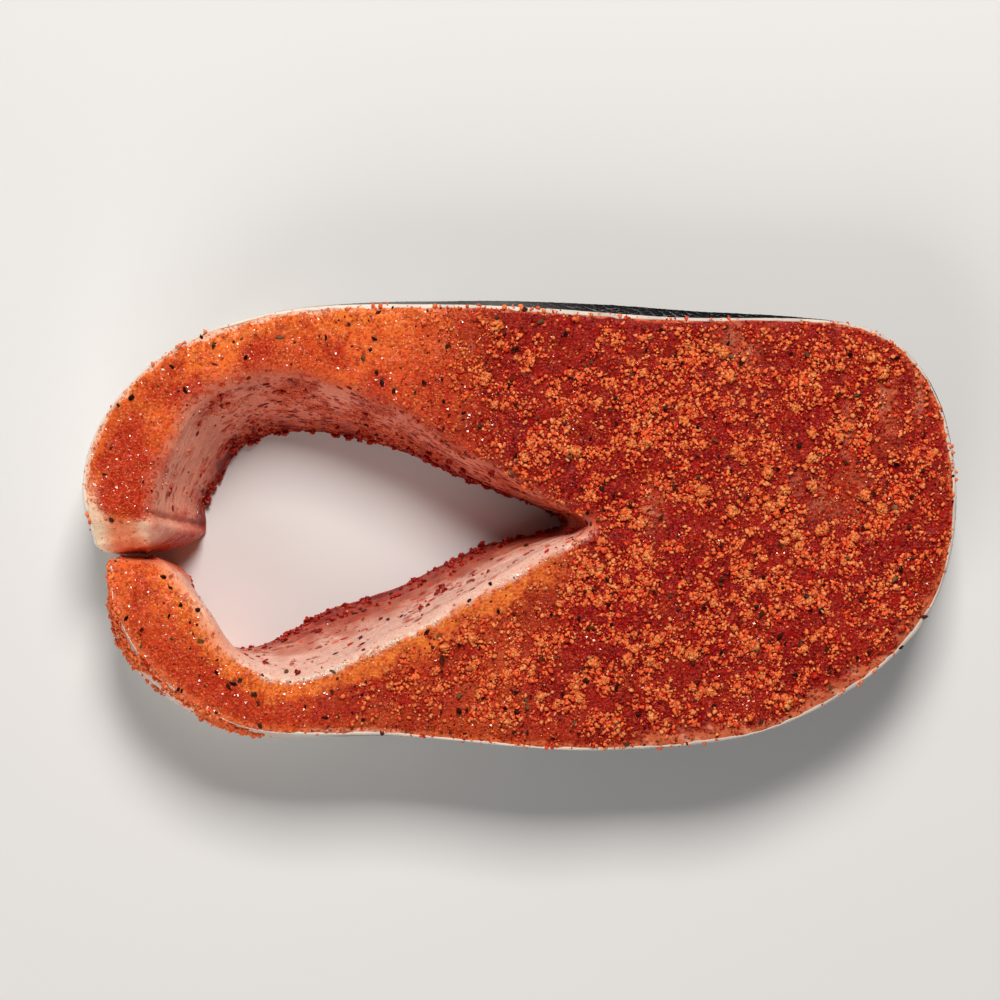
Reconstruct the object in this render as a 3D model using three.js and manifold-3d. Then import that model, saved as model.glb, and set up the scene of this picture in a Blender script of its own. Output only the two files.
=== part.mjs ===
// A seasoned salmon steak: one slice cut straight across the fish, lying on its cut face.
// The slice is a horseshoe: a solid back, and two belly flaps that curve round the open cavity
// until their ends touch. Crumbs of spice rub and cracked pepper stick to the upper face.
// Millimetres, +Z up, the belly towards -X and the back towards +X.

import * as THREE from 'three';
import { mergeVertices } from 'three/addons/utils/BufferGeometryUtils.js';
import Module from 'manifold-3d';

// Driving dimensions of the slice
const LENGTH = 189;              // flap ends to back
const WIDTH = 97;                // flank to flank
const THICKNESS = 26;            // between the two cut faces

// The cavity narrows downwards: the foot of its wall is drawn towards its middle by these shares
const CAVITY_MIDDLE = [0.337, -0.022];
const CAVITY_DRAW = [0.24, 0.38];
const TOP_ROLL = 3.4;            // rounding where the upper face turns into the cavity
const FOOT_ROLL = 1.6;           // rounding where the cavity wall meets the lower face
const SKIN_FOOT = 0.7;           // share of the skin's swell left at the lower face
const SWELL_HEIGHT = 0.45;       // share of the thickness where the skin swells most
const SWELL_PULL = 1.64;         // control point's share for the wall to reach the swell
const FACE_WAVE = 0.6;           // rise and fall of the upper face
const WAVE_LENGTH = 46;          // from crest to crest

// Rounded ends of the two flaps
const TIP_REACH = 4.0;
const TIP_TURN = 68;             // degrees the rounding turns before it closes
const TIP_MIDDLE = 0.42;         // share of the thickness it closes on

// Fineness of the faceted surface
const COLUMNS = 88;
const TIP_RINGS = 3;
const TOP_STEPS = 7;
const ROLL_STEPS = 3;
const WALL_STEPS = 3;
const FOOT_STEPS = 2;
const BASE_STEPS = 3;
const SKIN_STEPS = 4;

// Crumbs and pepper stuck to the upper face
const SEED = 20417;
const CRUMBS = 138;
const CRUMB_SIZE = [2.0, 3.3];
const CRUMB_GAP = 6.0;
const CRUMB_HEIGHT = 0.75;       // height as a share of the width
const FLAKES = 52;
const FLAKE_SIZE = [1.7, 2.7];
const FLAKE_GAP = 8.5;
const FLAKE_HEIGHT = 0.6;
const GRAIN_GAP = 3.6;           // between a crumb and a pepper flake
const EDGE_SHARE = 0.05;         // bare rim beside the skin, as a share of the way across
const FACE_SHARE = 0.8;          // share of the way across that carries grains
const TRIES = 9000;

// Landmarks round the slice, from the upper flap's end over the back to the lower flap's end.
// skin and belly: the upper face's two edges, as shares of LENGTH from the flap ends and of WIDTH
// from the backbone line. swell: mm the skin stands out below its edge. draw: how far the cavity
// wall follows the narrowing, less than nothing where a flap leans over the cavity.
const LANDMARKS = [
  { skin: [0.010, -0.048], belly: [0.080, -0.022], swell: 0.5, draw: 0.8 },
  { skin: [-0.001, 0.080], belly: [0.080, 0.062], swell: 0.5, draw: 0.8 },
  { skin: [0.022, 0.226], belly: [0.094, 0.155], swell: 0.5, draw: 0.9 },
  { skin: [0.093, 0.369], belly: [0.127, 0.270], swell: 0.5, draw: 0.95 },
  { skin: [0.218, 0.460], belly: [0.207, 0.330], swell: 0.6, draw: 1 },
  { skin: [0.417, 0.477], belly: [0.337, 0.268], swell: 2.0, draw: 0.92 },
  { skin: [0.655, 0.450], belly: [0.451, 0.137], swell: 3.9, draw: 0.75 },
  { skin: [0.902, 0.416], belly: [0.542, 0.030], swell: 0.6, draw: 0.4 },
  { skin: [0.968, 0.284], belly: [0.568, 0.012], swell: 1.4, draw: 0.5 },
  { skin: [0.991, 0.000], belly: [0.578, -0.009], swell: 1.0, draw: 0.6 },
  { skin: [0.950, -0.240], belly: [0.570, -0.029], swell: 0.8, draw: 0.7 },
  { skin: [0.803, -0.447], belly: [0.544, -0.051], swell: 0.6, draw: 0.9 },
  { skin: [0.610, -0.509], belly: [0.502, -0.093], swell: 0.6, draw: 1.25 },
  { skin: [0.360, -0.478], belly: [0.360, -0.248], swell: 0.7, draw: 1.12 },
  { skin: [0.172, -0.452], belly: [0.229, -0.345], swell: 3.0, draw: 1 },
  { skin: [0.070, -0.314], belly: [0.172, -0.288], swell: 5.0, draw: -0.1 },
  { skin: [0.033, -0.180], belly: [0.142, -0.193], swell: 2.8, draw: -0.4 },
  { skin: [0.029, -0.110], belly: [0.112, -0.130], swell: 1.2, draw: -0.1 },
];

const wasm = await Module();
wasm.setup();

// A smooth line through one value of every landmark.
function through(read) {
  const points = LANDMARKS.map((mark) => new THREE.Vector3(...read(mark)));
  return new THREE.CatmullRomCurve3(points, false, 'centripetal');
}

// The third coordinate carries the swell and the draw along with the two edges.
const skinEdge = through((mark) => [mark.skin[0] * LENGTH, mark.skin[1] * WIDTH, mark.swell]);
const bellyEdge = through((mark) => [mark.belly[0] * LENGTH, mark.belly[1] * WIDTH, mark.draw]);

// Height of the upper face, a slow rise and fall.
function faceHeight(x, y) {
  const turn = (2 * Math.PI) / WAVE_LENGTH;
  return THICKNESS + FACE_WAVE * Math.sin(turn * x + 1.1) * Math.cos(turn * 0.8 * y - 0.4);
}

function onFace(point) {
  return point.setZ(faceHeight(point.x, point.y));
}

// Point at a given distance from one corner towards another.
function towards(from, to, distance) {
  const share = Math.min(0.45, distance / from.distanceTo(to));
  return from.clone().lerp(to, share);
}

// Points of a curve without its last one, which the next curve starts with.
function steps(curve, count) {
  return curve.getPoints(count).slice(0, count);
}

// The four corners of the section at t along the landmarks.
function corners(t) {
  const skin = skinEdge.getPoint(t);
  const belly = bellyEdge.getPoint(t);
  const swell = skin.z;
  const draw = belly.z;
  const outward = new THREE.Vector3(skin.x - belly.x, skin.y - belly.y, 0).normalize();
  const bellyFoot = new THREE.Vector3(
    belly.x + draw * CAVITY_DRAW[0] * (CAVITY_MIDDLE[0] * LENGTH - belly.x),
    belly.y + draw * CAVITY_DRAW[1] * (CAVITY_MIDDLE[1] * WIDTH - belly.y),
    0,
  );
  const skinFoot = skin.clone().setZ(0).addScaledVector(outward, SKIN_FOOT * swell);
  const skinPull = skin.clone().setZ(SWELL_HEIGHT * THICKNESS);
  skinPull.addScaledVector(outward, SWELL_PULL * swell);
  return { skin: onFace(skin), belly: onFace(belly), bellyFoot, skinFoot, skinPull };
}

// Closed section: across the upper face, down the cavity wall, back along the lower face, up the skin.
function section(t) {
  const { skin, belly, bellyFoot, skinFoot, skinPull } = corners(t);
  const rollStart = towards(belly, skin, TOP_ROLL);
  const rollEnd = towards(belly, bellyFoot, TOP_ROLL);
  const footStart = towards(bellyFoot, belly, FOOT_ROLL);
  const footEnd = towards(bellyFoot, skinFoot, FOOT_ROLL);
  const face = steps(new THREE.LineCurve3(skin, rollStart), TOP_STEPS).map(onFace);
  return [
    ...face,
    ...steps(new THREE.QuadraticBezierCurve3(rollStart, belly, rollEnd), ROLL_STEPS),
    ...steps(new THREE.LineCurve3(rollEnd, footStart), WALL_STEPS),
    ...steps(new THREE.QuadraticBezierCurve3(footStart, bellyFoot, footEnd), FOOT_STEPS),
    ...steps(new THREE.LineCurve3(footEnd, skinFoot), BASE_STEPS),
    ...steps(new THREE.QuadraticBezierCurve3(skinFoot, skinPull, skin), SKIN_STEPS),
  ];
}

// Middle of a section, at the height the flap's end closes on.
function middle(ring) {
  const sum = ring.reduce((total, point) => total.add(point), new THREE.Vector3());
  return sum.divideScalar(ring.length).setZ(TIP_MIDDLE * THICKNESS);
}

// Rings that round off a flap's end, carried on along the flap and drawn in to its middle.
function tipRings(ring, before) {
  const centre = middle(ring);
  const ahead = centre.clone().sub(middle(before)).setZ(0).normalize();
  const rings = [];
  for (let k = 1; k <= TIP_RINGS; k += 1) {
    const angle = THREE.MathUtils.degToRad((TIP_TURN * k) / TIP_RINGS);
    const shift = ahead.clone().multiplyScalar(TIP_REACH * Math.sin(angle));
    const shrink = Math.cos(angle);
    rings.push(ring.map((point) => centre.clone().lerp(point, shrink).add(shift)));
  }
  return rings;
}

// All sections in order, the skin edge cut into equal steps.
function slices() {
  const rings = [];
  for (let k = 0; k <= COLUMNS; k += 1) {
    rings.push(section(skinEdge.getUtoTmapping(k / COLUMNS)));
  }
  const first = tipRings(rings[0], rings[1]).reverse();
  const last = tipRings(rings[COLUMNS], rings[COLUMNS - 1]);
  return [...first, ...rings, ...last];
}

// A closed surface over the rings, with a fan at each end.
function skinned(rings) {
  const around = rings[0].length;
  const points = rings.flat();
  const faces = [];
  for (let r = 0; r + 1 < rings.length; r += 1) {
    for (let k = 0; k < around; k += 1) {
      const a = r * around + k;
      const b = r * around + ((k + 1) % around);
      faces.push(a, b, a + around, b, b + around, a + around);
    }
  }
  const ends = [0, rings.length - 1];
  for (const r of ends) {
    const hub = points.length;
    const total = rings[r].reduce((sum, point) => sum.add(point), new THREE.Vector3());
    points.push(total.divideScalar(around));
    for (let k = 0; k < around; k += 1) {
      const a = r * around + k;
      const b = r * around + ((k + 1) % around);
      if (r === 0) faces.push(hub, b, a);
      else faces.push(hub, a, b);
    }
  }
  const shape = new THREE.BufferGeometry().setFromPoints(points);
  shape.setIndex(faces);
  return shape;
}

// Geometry as a solid that can be joined to another.
function solid(shape) {
  const bare = shape.clone();
  bare.deleteAttribute('normal');
  bare.deleteAttribute('uv');
  const merged = mergeVertices(bare, 1e-4);
  const mesh = new wasm.Mesh({
    numProp: 3,
    vertProperties: new Float32Array(merged.attributes.position.array),
    triVerts: new Uint32Array(merged.index.array),
  });
  return new wasm.Manifold(mesh);
}

// Back from a solid to geometry.
function shapeOf(body) {
  const mesh = body.getMesh();
  const shape = new THREE.BufferGeometry();
  shape.setAttribute('position', new THREE.BufferAttribute(mesh.vertProperties.slice(), 3));
  shape.setIndex(new THREE.BufferAttribute(mesh.triVerts.slice(), 1));
  return shape;
}

// Repeatable draw between 0 and 1.
function draws(seed) {
  let state = seed >>> 0;
  return () => {
    state = (Math.imul(state, 1664525) + 1013904223) >>> 0;
    return state / 4294967296;
  };
}

const random = draws(SEED);

// Up to count points of the upper face, kept as often as liking says, a gap from each other
// and a little clear of the spots already taken.
function spread(count, gap, liking, taken) {
  const kept = [];
  for (let k = 0; k < TRIES && kept.length < count; k += 1) {
    const t = skinEdge.getUtoTmapping(random());
    const { skin, belly } = corners(t);
    const across = EDGE_SHARE + FACE_SHARE * random();
    const spot = onFace(skin.lerp(belly, across));
    const apart = kept.every((other) => other.distanceTo(spot) > gap);
    const clear = taken.every((other) => other.distanceTo(spot) > GRAIN_GAP);
    if (random() < liking(spot) && apart && clear) kept.push(spot);
  }
  return kept;
}

// A grain set into the face: a turned, flattened lump standing about half proud.
function grain(shape, size, height, spot) {
  const turn = new THREE.Euler(6.3 * random(), 6.3 * random(), 6.3 * random());
  const wide = size / 2;
  const lump = shape.clone();
  lump.applyMatrix4(new THREE.Matrix4().makeRotationFromEuler(turn));
  lump.scale(wide * (0.8 + 0.4 * random()), wide, wide * height);
  lump.rotateZ(6.3 * random());
  lump.translate(spot.x, spot.y, spot.z + 0.15 * wide);
  return solid(lump);
}

// Size of the next grain, the largest first.
function sizeOf(range, k, count) {
  return range[1] + (range[0] - range[1]) * (k / count);
}

// Dry crumbs lie thick on the back and thin out along the flaps.
function crumbSpots() {
  const liking = (spot) => THREE.MathUtils.smoothstep(spot.x, 0.22 * LENGTH, 0.5 * LENGTH) + 0.1;
  return spread(CRUMBS, CRUMB_GAP, liking, []);
}

// Cracked pepper lies all over, thicker on the flaps.
function flakeSpots(taken) {
  const liking = (spot) => 1 - 0.5 * THREE.MathUtils.smoothstep(spot.x, 0.3 * LENGTH, 0.6 * LENGTH);
  return spread(FLAKES, FLAKE_GAP, liking, taken);
}

// All grains as solids: rounded crumbs and flat chips of pepper.
function grains() {
  const lump = new THREE.IcosahedronGeometry(1, 0);
  const chip = new THREE.OctahedronGeometry(1, 0);
  const crumbs = crumbSpots();
  const flakes = flakeSpots(crumbs);
  return [
    ...crumbs.map((spot, k) => grain(lump, sizeOf(CRUMB_SIZE, k, CRUMBS), CRUMB_HEIGHT, spot)),
    ...flakes.map((spot, k) => grain(chip, sizeOf(FLAKE_SIZE, k, FLAKES), FLAKE_HEIGHT, spot)),
  ];
}

// Slice and grains joined into one body, without loose scraps.
function steakBody() {
  const joined = wasm.Manifold.union([solid(skinned(slices())), ...grains()]);
  const pieces = joined.decompose();
  pieces.sort((a, b) => b.volume() - a.volume());
  return pieces[0];
}

const shape = shapeOf(steakBody());
shape.computeBoundingBox();
const centre = shape.boundingBox.getCenter(new THREE.Vector3());
shape.translate(-centre.x, -centre.y, -shape.boundingBox.min.z);
shape.computeVertexNormals();

const rub = new THREE.MeshStandardMaterial({ color: '#c9572f', roughness: 0.55 });
rub.name = 'seasoned_flesh';
const steak = new THREE.Mesh(shape, rub);
steak.name = 'salmon_steak';

const part = new THREE.Group();
part.name = 'seasoned_salmon_steak';
part.add(steak);

export default part;
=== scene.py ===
import math

import bpy
import numpy as np
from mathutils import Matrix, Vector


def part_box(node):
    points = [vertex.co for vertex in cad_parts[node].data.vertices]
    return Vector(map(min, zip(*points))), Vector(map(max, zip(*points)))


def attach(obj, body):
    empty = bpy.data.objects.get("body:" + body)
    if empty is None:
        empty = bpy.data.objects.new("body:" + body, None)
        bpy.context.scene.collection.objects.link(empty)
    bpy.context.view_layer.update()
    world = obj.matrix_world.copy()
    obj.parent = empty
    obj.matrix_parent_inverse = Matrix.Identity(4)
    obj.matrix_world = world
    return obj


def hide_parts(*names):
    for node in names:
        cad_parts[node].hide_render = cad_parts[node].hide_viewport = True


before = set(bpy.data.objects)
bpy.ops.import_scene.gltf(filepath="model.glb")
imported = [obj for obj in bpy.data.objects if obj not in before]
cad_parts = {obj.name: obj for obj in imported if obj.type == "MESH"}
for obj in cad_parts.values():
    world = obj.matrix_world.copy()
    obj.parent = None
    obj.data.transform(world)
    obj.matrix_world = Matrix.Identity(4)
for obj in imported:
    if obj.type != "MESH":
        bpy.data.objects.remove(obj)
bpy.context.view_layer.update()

# Flesh
# A slice sawn straight across a salmon: a solid back and two belly flaps round the open cavity.
# The wet rub stains its cut face orange red, and a pale pink membrane lines the cavity.

# Sizes are in mm, the frame in metres. Colours are display values turned into linear light.
MM = 0.001
LENGTH = 189.0
WIDTH = 97.0
THICKNESS = 26.0
CAVITY_MIDDLE = (0.337 * LENGTH, -0.022 * WIDTH)
CAVITY_DRAW = (0.24, 0.38)
TOP_ROLL = 3.4
FOOT_ROLL = 1.6
SKIN_FOOT = 0.7
SWELL_HEIGHT = 0.45
SWELL_PULL = 1.64
FACE_WAVE = 0.6
WAVE_LENGTH = 46.0
TIP_REACH = 4.0
TIP_MIDDLE = 0.42
TIP_RINGS = 16
TIP_DROOP = 3.2
TIP_DROOP_RUN = 10.0
FLESH_TURN = 88.0
FLESH_INSET = 0.25
EDGE_DROP = 0.9
EDGE_ROUND = 4.0
COLUMNS = 640

# Each landmark: the skin edge and the cavity edge of the upper face, as shares of LENGTH from the
# flap ends and of WIDTH from the backbone line, the skin's swell in mm and the cavity wall's draw.
LANDMARKS = np.array([
    (0.010, -0.048, 0.080, -0.022, 0.5, 0.8),
    (-0.001, 0.080, 0.080, 0.062, 0.5, 0.8),
    (0.022, 0.226, 0.094, 0.155, 0.5, 0.9),
    (0.093, 0.369, 0.127, 0.270, 0.5, 0.95),
    (0.218, 0.460, 0.207, 0.330, 0.6, 1.0),
    (0.417, 0.477, 0.337, 0.268, 2.0, 0.92),
    (0.655, 0.450, 0.451, 0.137, 3.9, 0.75),
    (0.902, 0.416, 0.542, 0.030, 0.6, 0.4),
    (0.968, 0.284, 0.568, 0.012, 1.4, 0.5),
    (0.991, 0.000, 0.578, -0.009, 1.0, 0.6),
    (0.950, -0.240, 0.570, -0.029, 0.8, 0.7),
    (0.803, -0.447, 0.544, -0.051, 0.6, 0.9),
    (0.610, -0.509, 0.502, -0.093, 0.6, 1.25),
    (0.360, -0.478, 0.360, -0.248, 0.7, 1.12),
    (0.172, -0.452, 0.229, -0.345, 3.0, 1.0),
    (0.070, -0.314, 0.172, -0.288, 5.0, -0.1),
    (0.033, -0.180, 0.142, -0.193, 2.8, -0.4),
    (0.029, -0.110, 0.112, -0.130, 1.2, -0.1),
])
SKIN_MARKS = LANDMARKS[:, [0, 1, 4]] * (LENGTH, WIDTH, 1.0)
BELLY_MARKS = LANDMARKS[:, [2, 3, 5]] * (LENGTH, WIDTH, 1.0)


def smooth(low, high, x):
    """0 below low, 1 above high, an S-shaped cubic between."""
    s = np.clip((x - low) / (high - low), 0.0, 1.0)
    return s * s * (3.0 - 2.0 * s)


def linear(red, green, blue):
    """A display colour of 0 to 255 as linear light."""
    c = np.array((red, green, blue)) / 255.0
    return np.where(c <= 0.04045, c / 12.92, ((c + 0.055) / 1.055) ** 2.4)


def through(marks, t):
    """Centripetal Catmull-Rom curve: a cubic between each two marks, its slopes weighed by the
    square roots of the distances to the marks before and after."""
    ends = np.vstack([2 * marks[0] - marks[1], marks, 2 * marks[-1] - marks[-2]])
    place = np.clip(t, 0.0, 1.0) * (len(marks) - 1)
    k = np.minimum(place.astype(int), len(marks) - 2)
    w = (place - k)[:, None]
    a, b, c, d = ends[k], ends[k + 1], ends[k + 2], ends[k + 3]
    gaps = ((a, b), (b, c), (c, d))
    before, here, after = (np.sqrt(np.linalg.norm(q - p, axis=1))[:, None] for p, q in gaps)
    leave = here * ((b - a) / before - (c - a) / (before + here) + (c - b) / here)
    arrive = here * ((c - b) / here - (d - b) / (here + after) + (d - c) / after)
    cubic = b * (2 * w**3 - 3 * w**2 + 1) + leave * (w**3 - 2 * w**2 + w)
    return cubic + c * (3 * w**2 - 2 * w**3) + arrive * (w**3 - w**2)


def noise(points, size, seed):
    """Smooth random values from -1 to 1: one draw for each corner of a lattice of that cell size,
    blended across the cell by an S-shaped cubic on each axis."""
    draws = np.random.default_rng(seed).uniform(-1.0, 1.0, 65536)
    p = points / size
    cell = np.floor(p).astype(np.int64)
    f = p - cell
    f = f * f * (3.0 - 2.0 * f)
    total = np.zeros(points.shape[:-1])
    for corner in range(8):
        step = np.array((corner & 1, corner >> 1 & 1, corner >> 2 & 1))
        at = cell + step
        key = (at[..., 0] * 73856093) ^ (at[..., 1] * 19349663) ^ (at[..., 2] * 83492791)
        weight = np.prod(np.where(step == 1, f, 1.0 - f), axis=-1)
        total += weight * draws[key & 65535]
    return total


def equal_steps(count):
    """Places t along the landmarks that cut the skin edge into equal lengths, and its whole length."""
    t = np.linspace(0.0, 1.0, 6000)
    path = through(SKIN_MARKS, t)[:, :2]
    run = np.concatenate([[0.0], np.cumsum(np.linalg.norm(np.diff(path, axis=0), axis=1))])
    return np.interp(np.linspace(0.0, run[-1], count), run, t), run[-1]


def on_face(xy, inset=EDGE_ROUND):
    """The upper face over each xy: a slow sine wave along the slice times a cosine across it, falling
    by a quarter of a parabola towards the skin, inset being the distance from it."""
    turn = 2 * math.pi / WAVE_LENGTH
    wave = FACE_WAVE * np.sin(turn * xy[..., 0] + 1.1) * np.cos(turn * 0.8 * xy[..., 1] - 0.4)
    drop = EDGE_DROP * (1.0 - np.clip(inset / EDGE_ROUND, 0.0, 1.0)) ** 2
    return np.concatenate([xy, (THICKNESS + wave - drop)[..., None]], axis=-1)


def on_base(xy):
    """The point of the lower face under each xy."""
    return np.concatenate([xy, np.zeros((len(xy), 1))], axis=1)


def edges(t):
    """Skin edge, cavity edge, cavity foot and outward direction at each t, and the skin's swell."""
    skin = through(SKIN_MARKS, t)
    belly = through(BELLY_MARKS, t)
    outward = skin[:, :2] - belly[:, :2]
    outward /= np.linalg.norm(outward, axis=1)[:, None]
    foot = belly[:, :2] + belly[:, 2:] * np.array(CAVITY_DRAW) * (np.array(CAVITY_MIDDLE) - belly[:, :2])
    return skin[:, :2], belly[:, :2], foot, outward, skin[:, 2:]


def bend(a, b, c, steps):
    """Quadratic curve from a to c pulled towards b, without its last point."""
    s = np.linspace(0.0, 1.0, steps, endpoint=False)[None, :, None]
    return a[:, None] * (1 - s) ** 2 + b[:, None] * (2 * s * (1 - s)) + c[:, None] * s**2


def line(a, b, steps):
    """Straight run from a to b, without its last point."""
    s = np.linspace(0.0, 1.0, steps, endpoint=False)[None, :, None]
    return a[:, None] * (1 - s) + b[:, None] * s


def towards(a, b, distance):
    """Point at that distance from a towards b, at most 0.45 of the way."""
    share = np.minimum(0.45, distance / np.linalg.norm(b - a, axis=1))[:, None]
    return a + (b - a) * share


def skin_wall(t, inset, steps):
    """The skin's side, from foot to upper edge: a quadratic curve that swells outward below the edge."""
    skin, _, _, outward, swell = edges(t)
    foot = on_base(skin + outward * (SKIN_FOOT * swell - inset))
    pull = on_base(skin + outward * (SWELL_PULL * swell - inset)) + (0, 0, SWELL_HEIGHT * THICKNESS)
    return bend(foot, pull, on_face(skin - outward * inset, inset), steps)


STEPS = {"face": 96, "roll": 12, "wall": 22, "foot": 4, "base": 6, "back": 4}
STARTS = dict(zip(STEPS, np.cumsum([0] + list(STEPS.values())).tolist()))


def flesh_sections(t):
    """Closed section at each t: across the upper face, round into the cavity, down its wall,
    back along the lower face and up inside the skin."""
    skin, belly, foot, outward, _ = edges(t)
    rim = on_face(skin - outward * FLESH_INSET, FLESH_INSET)
    corner, floor = on_face(belly), on_base(foot)
    wall = skin_wall(t, FLESH_INSET, STEPS["back"])
    roll_start = on_face(towards(corner, rim, TOP_ROLL)[:, :2])
    roll_end = towards(corner, floor, TOP_ROLL)
    foot_start = towards(floor, corner, FOOT_ROLL)
    foot_end = towards(floor, wall[:, 0], FOOT_ROLL)
    face = line(rim, roll_start, STEPS["face"])[..., :2]
    inset = FLESH_INSET + np.linalg.norm(face - rim[:, None, :2], axis=-1)
    return np.concatenate([
        on_face(face, inset),
        bend(roll_start, corner, roll_end, STEPS["roll"]),
        line(roll_end, foot_start, STEPS["wall"]),
        bend(foot_start, floor, foot_end, STEPS["foot"]),
        line(foot_end, wall[:, 0], STEPS["base"]),
        wall,
    ], axis=1)


def tip_rings(ring, guide, turn):
    """Rings that round off a flap's end: its last section drawn in to the flap's middle by the cosine
    of the angle turned and carried on along the flap by its sine. The guide is the flesh's last two."""
    middle = guide[0].mean(axis=0)
    centre = middle * (1, 1, 0) + (0, 0, TIP_MIDDLE * THICKNESS)
    ahead = (middle - guide[1].mean(axis=0)) * (1, 1, 0)
    ahead /= np.linalg.norm(ahead)
    angle = np.radians(np.linspace(0.0, turn, TIP_RINGS + 1)[1:])[:, None, None]
    return centre + (ring - centre) * np.cos(angle) + ahead * TIP_REACH * np.sin(angle)


def with_tips(rings, guide, turn):
    """The sections with their upper side drooping by a square law towards both flap ends, and a
    rounded end added at each."""
    run = np.linspace(0.0, SKIN_RUN, len(rings))
    left = np.clip(1.0 - np.minimum(run, SKIN_RUN - run) / TIP_DROOP_RUN, 0.0, 1.0)
    fall = (TIP_DROOP * left**2)[:, None] * (rings[..., 2] / THICKNESS) ** 2
    rings = rings - fall[..., None] * np.array((0.0, 0.0, 1.0))
    first = tip_rings(rings[0], guide[:2], turn)[::-1]
    last = tip_rings(rings[-1], guide[:-3:-1], turn)
    return np.concatenate([first, rings, last])


def grid_normals(grid):
    """Unit normals of a grid closed the second way: the cross product of its two slopes."""
    along = np.gradient(grid, axis=0)
    around = np.roll(grid, -1, axis=1) - np.roll(grid, 1, axis=1)
    n = np.cross(around, along)
    return n / np.maximum(np.linalg.norm(n, axis=-1, keepdims=True), 1e-9)


def tube_faces(rows, around):
    """Quads between the rings of a tube and a fan of triangles to one more point at each end."""
    r, k = np.meshgrid(np.arange(rows - 1), np.arange(around), indexing="ij")
    a, b = r * around + k, r * around + (k + 1) % around
    quads = np.stack([a, b, b + around, a + around], axis=-1).reshape(-1, 4)
    k = np.arange(around)
    first = np.stack([np.full(around, rows * around), (k + 1) % around, k], axis=-1)
    top = (rows - 1) * around
    last = np.stack([np.full(around, rows * around + 1), top + k, top + (k + 1) % around], axis=-1)
    return quads, np.concatenate([first, last])


def with_hubs(grid):
    """The grid's points in a row, then the middle of its first and of its last ring."""
    return np.concatenate([grid.reshape(-1, grid.shape[-1]), grid[[0, -1]].mean(axis=1)])


def make_piece(name, points, faces, material, rounded=True):
    """An object of these points, in mm and shifted into the frame, and these arrays of faces, shaded
    rounded or faceted."""
    mesh = bpy.data.meshes.new(name)
    mesh.vertices.add(len(points))
    mesh.vertices.foreach_set("co", ((points + SHIFT) * MM).astype(np.float32).ravel())
    corners = np.concatenate([np.full(len(f), f.shape[1]) for f in faces])
    mesh.loops.add(int(corners.sum()))
    mesh.loops.foreach_set("vertex_index", np.concatenate([f.ravel() for f in faces]).astype(np.int32))
    mesh.polygons.add(len(corners))
    mesh.polygons.foreach_set("loop_start", np.concatenate([[0], np.cumsum(corners)[:-1]]).astype(np.int32))
    mesh.polygons.foreach_set("use_smooth", np.full(len(corners), rounded))
    mesh.update(calc_edges=True)
    mesh.validate()
    mesh.materials.append(material)
    piece = bpy.data.objects.new(name, mesh)
    bpy.context.scene.collection.objects.link(piece)
    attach(piece, "root")
    return piece


def paint(piece, name, values):
    """Stores one colour or one number for each point of the piece."""
    if values.ndim == 2:
        attribute = piece.data.color_attributes.new(name, "FLOAT_COLOR", "POINT")
        rgba = np.concatenate([values, np.ones((len(values), 1))], axis=1)
        attribute.data.foreach_set("color", rgba.astype(np.float32).ravel())
    else:
        attribute = piece.data.attributes.new(name, "FLOAT", "POINT")
        attribute.data.foreach_set("value", values.astype(np.float32))


def mix(a, b, share):
    """Colour a turned into colour b by that share."""
    return a + (b - a) * share[..., None]


def ellipse(centre, radius):
    """A soft round patch on the face: a bell curve of the distance from its centre."""
    away = (x - centre[0]) ** 2 + (y - centre[1]) ** 2
    return np.exp(-away / radius**2)


t_columns, SKIN_RUN = equal_steps(COLUMNS)
sections = flesh_sections(t_columns)
smooth_flesh = with_tips(sections, sections, FLESH_TURN)
flesh_normals = grid_normals(smooth_flesh)

# The way from the slice's own places to the frame: the middle of its outline comes to the solid's middle
cad_low, cad_high = (np.array(corner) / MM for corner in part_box("salmon_steak"))
outline = skin_wall(t_columns, 0.0, 24).reshape(-1, 3)
shift = (cad_low + cad_high) / 2 - (outline.min(axis=0) + outline.max(axis=0)) / 2
SHIFT = np.array((shift[0], shift[1], 0.0))

# Places on the flesh: along the skin from either flap end, in from the skin, past the cavity's edge
x, y, z = np.moveaxis(smooth_flesh, -1, 0)
step_index = np.arange(smooth_flesh.shape[1])
past_tip = TIP_REACH * np.sin(np.radians(np.linspace(0.0, FLESH_TURN, TIP_RINGS + 1)[1:]))
run = np.concatenate([-past_tip[::-1], np.linspace(0.0, SKIN_RUN, COLUMNS), SKIN_RUN + past_tip])
run = run[:, None] + 0.0 * x
step_long = np.linalg.norm(np.diff(smooth_flesh, axis=1, append=smooth_flesh[:, :1]), axis=-1)
from_skin = np.cumsum(step_long, axis=1) - step_long
past_edge = from_skin - from_skin[:, STARTS["roll"], None]
lower = smooth(2.0, -6.0, y)

# Shares of the section: 1 on the upper face, on the cavity wall and on the lower face
is_face = 1.0 - smooth(STARTS["roll"] + 1, STARTS["wall"] - 1, step_index)
is_face = np.where(step_index < STARTS["back"], is_face, 0.0) + 0.0 * x
is_wall = smooth(STARTS["roll"] + 4, STARTS["wall"] + 2, step_index)
is_wall = np.where(step_index < STARTS["base"], is_wall, 0.0) + 0.0 * x
is_base = smooth(STARTS["foot"], STARTS["base"], step_index) + 0.0 * x

BACKBONE = (114.5, 0.6)
BACKBONE_R = 6.0
CREASE = ((13.9, 1.1), (26.2, -2.1))
NUB = (26.8, 0.0)


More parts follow.
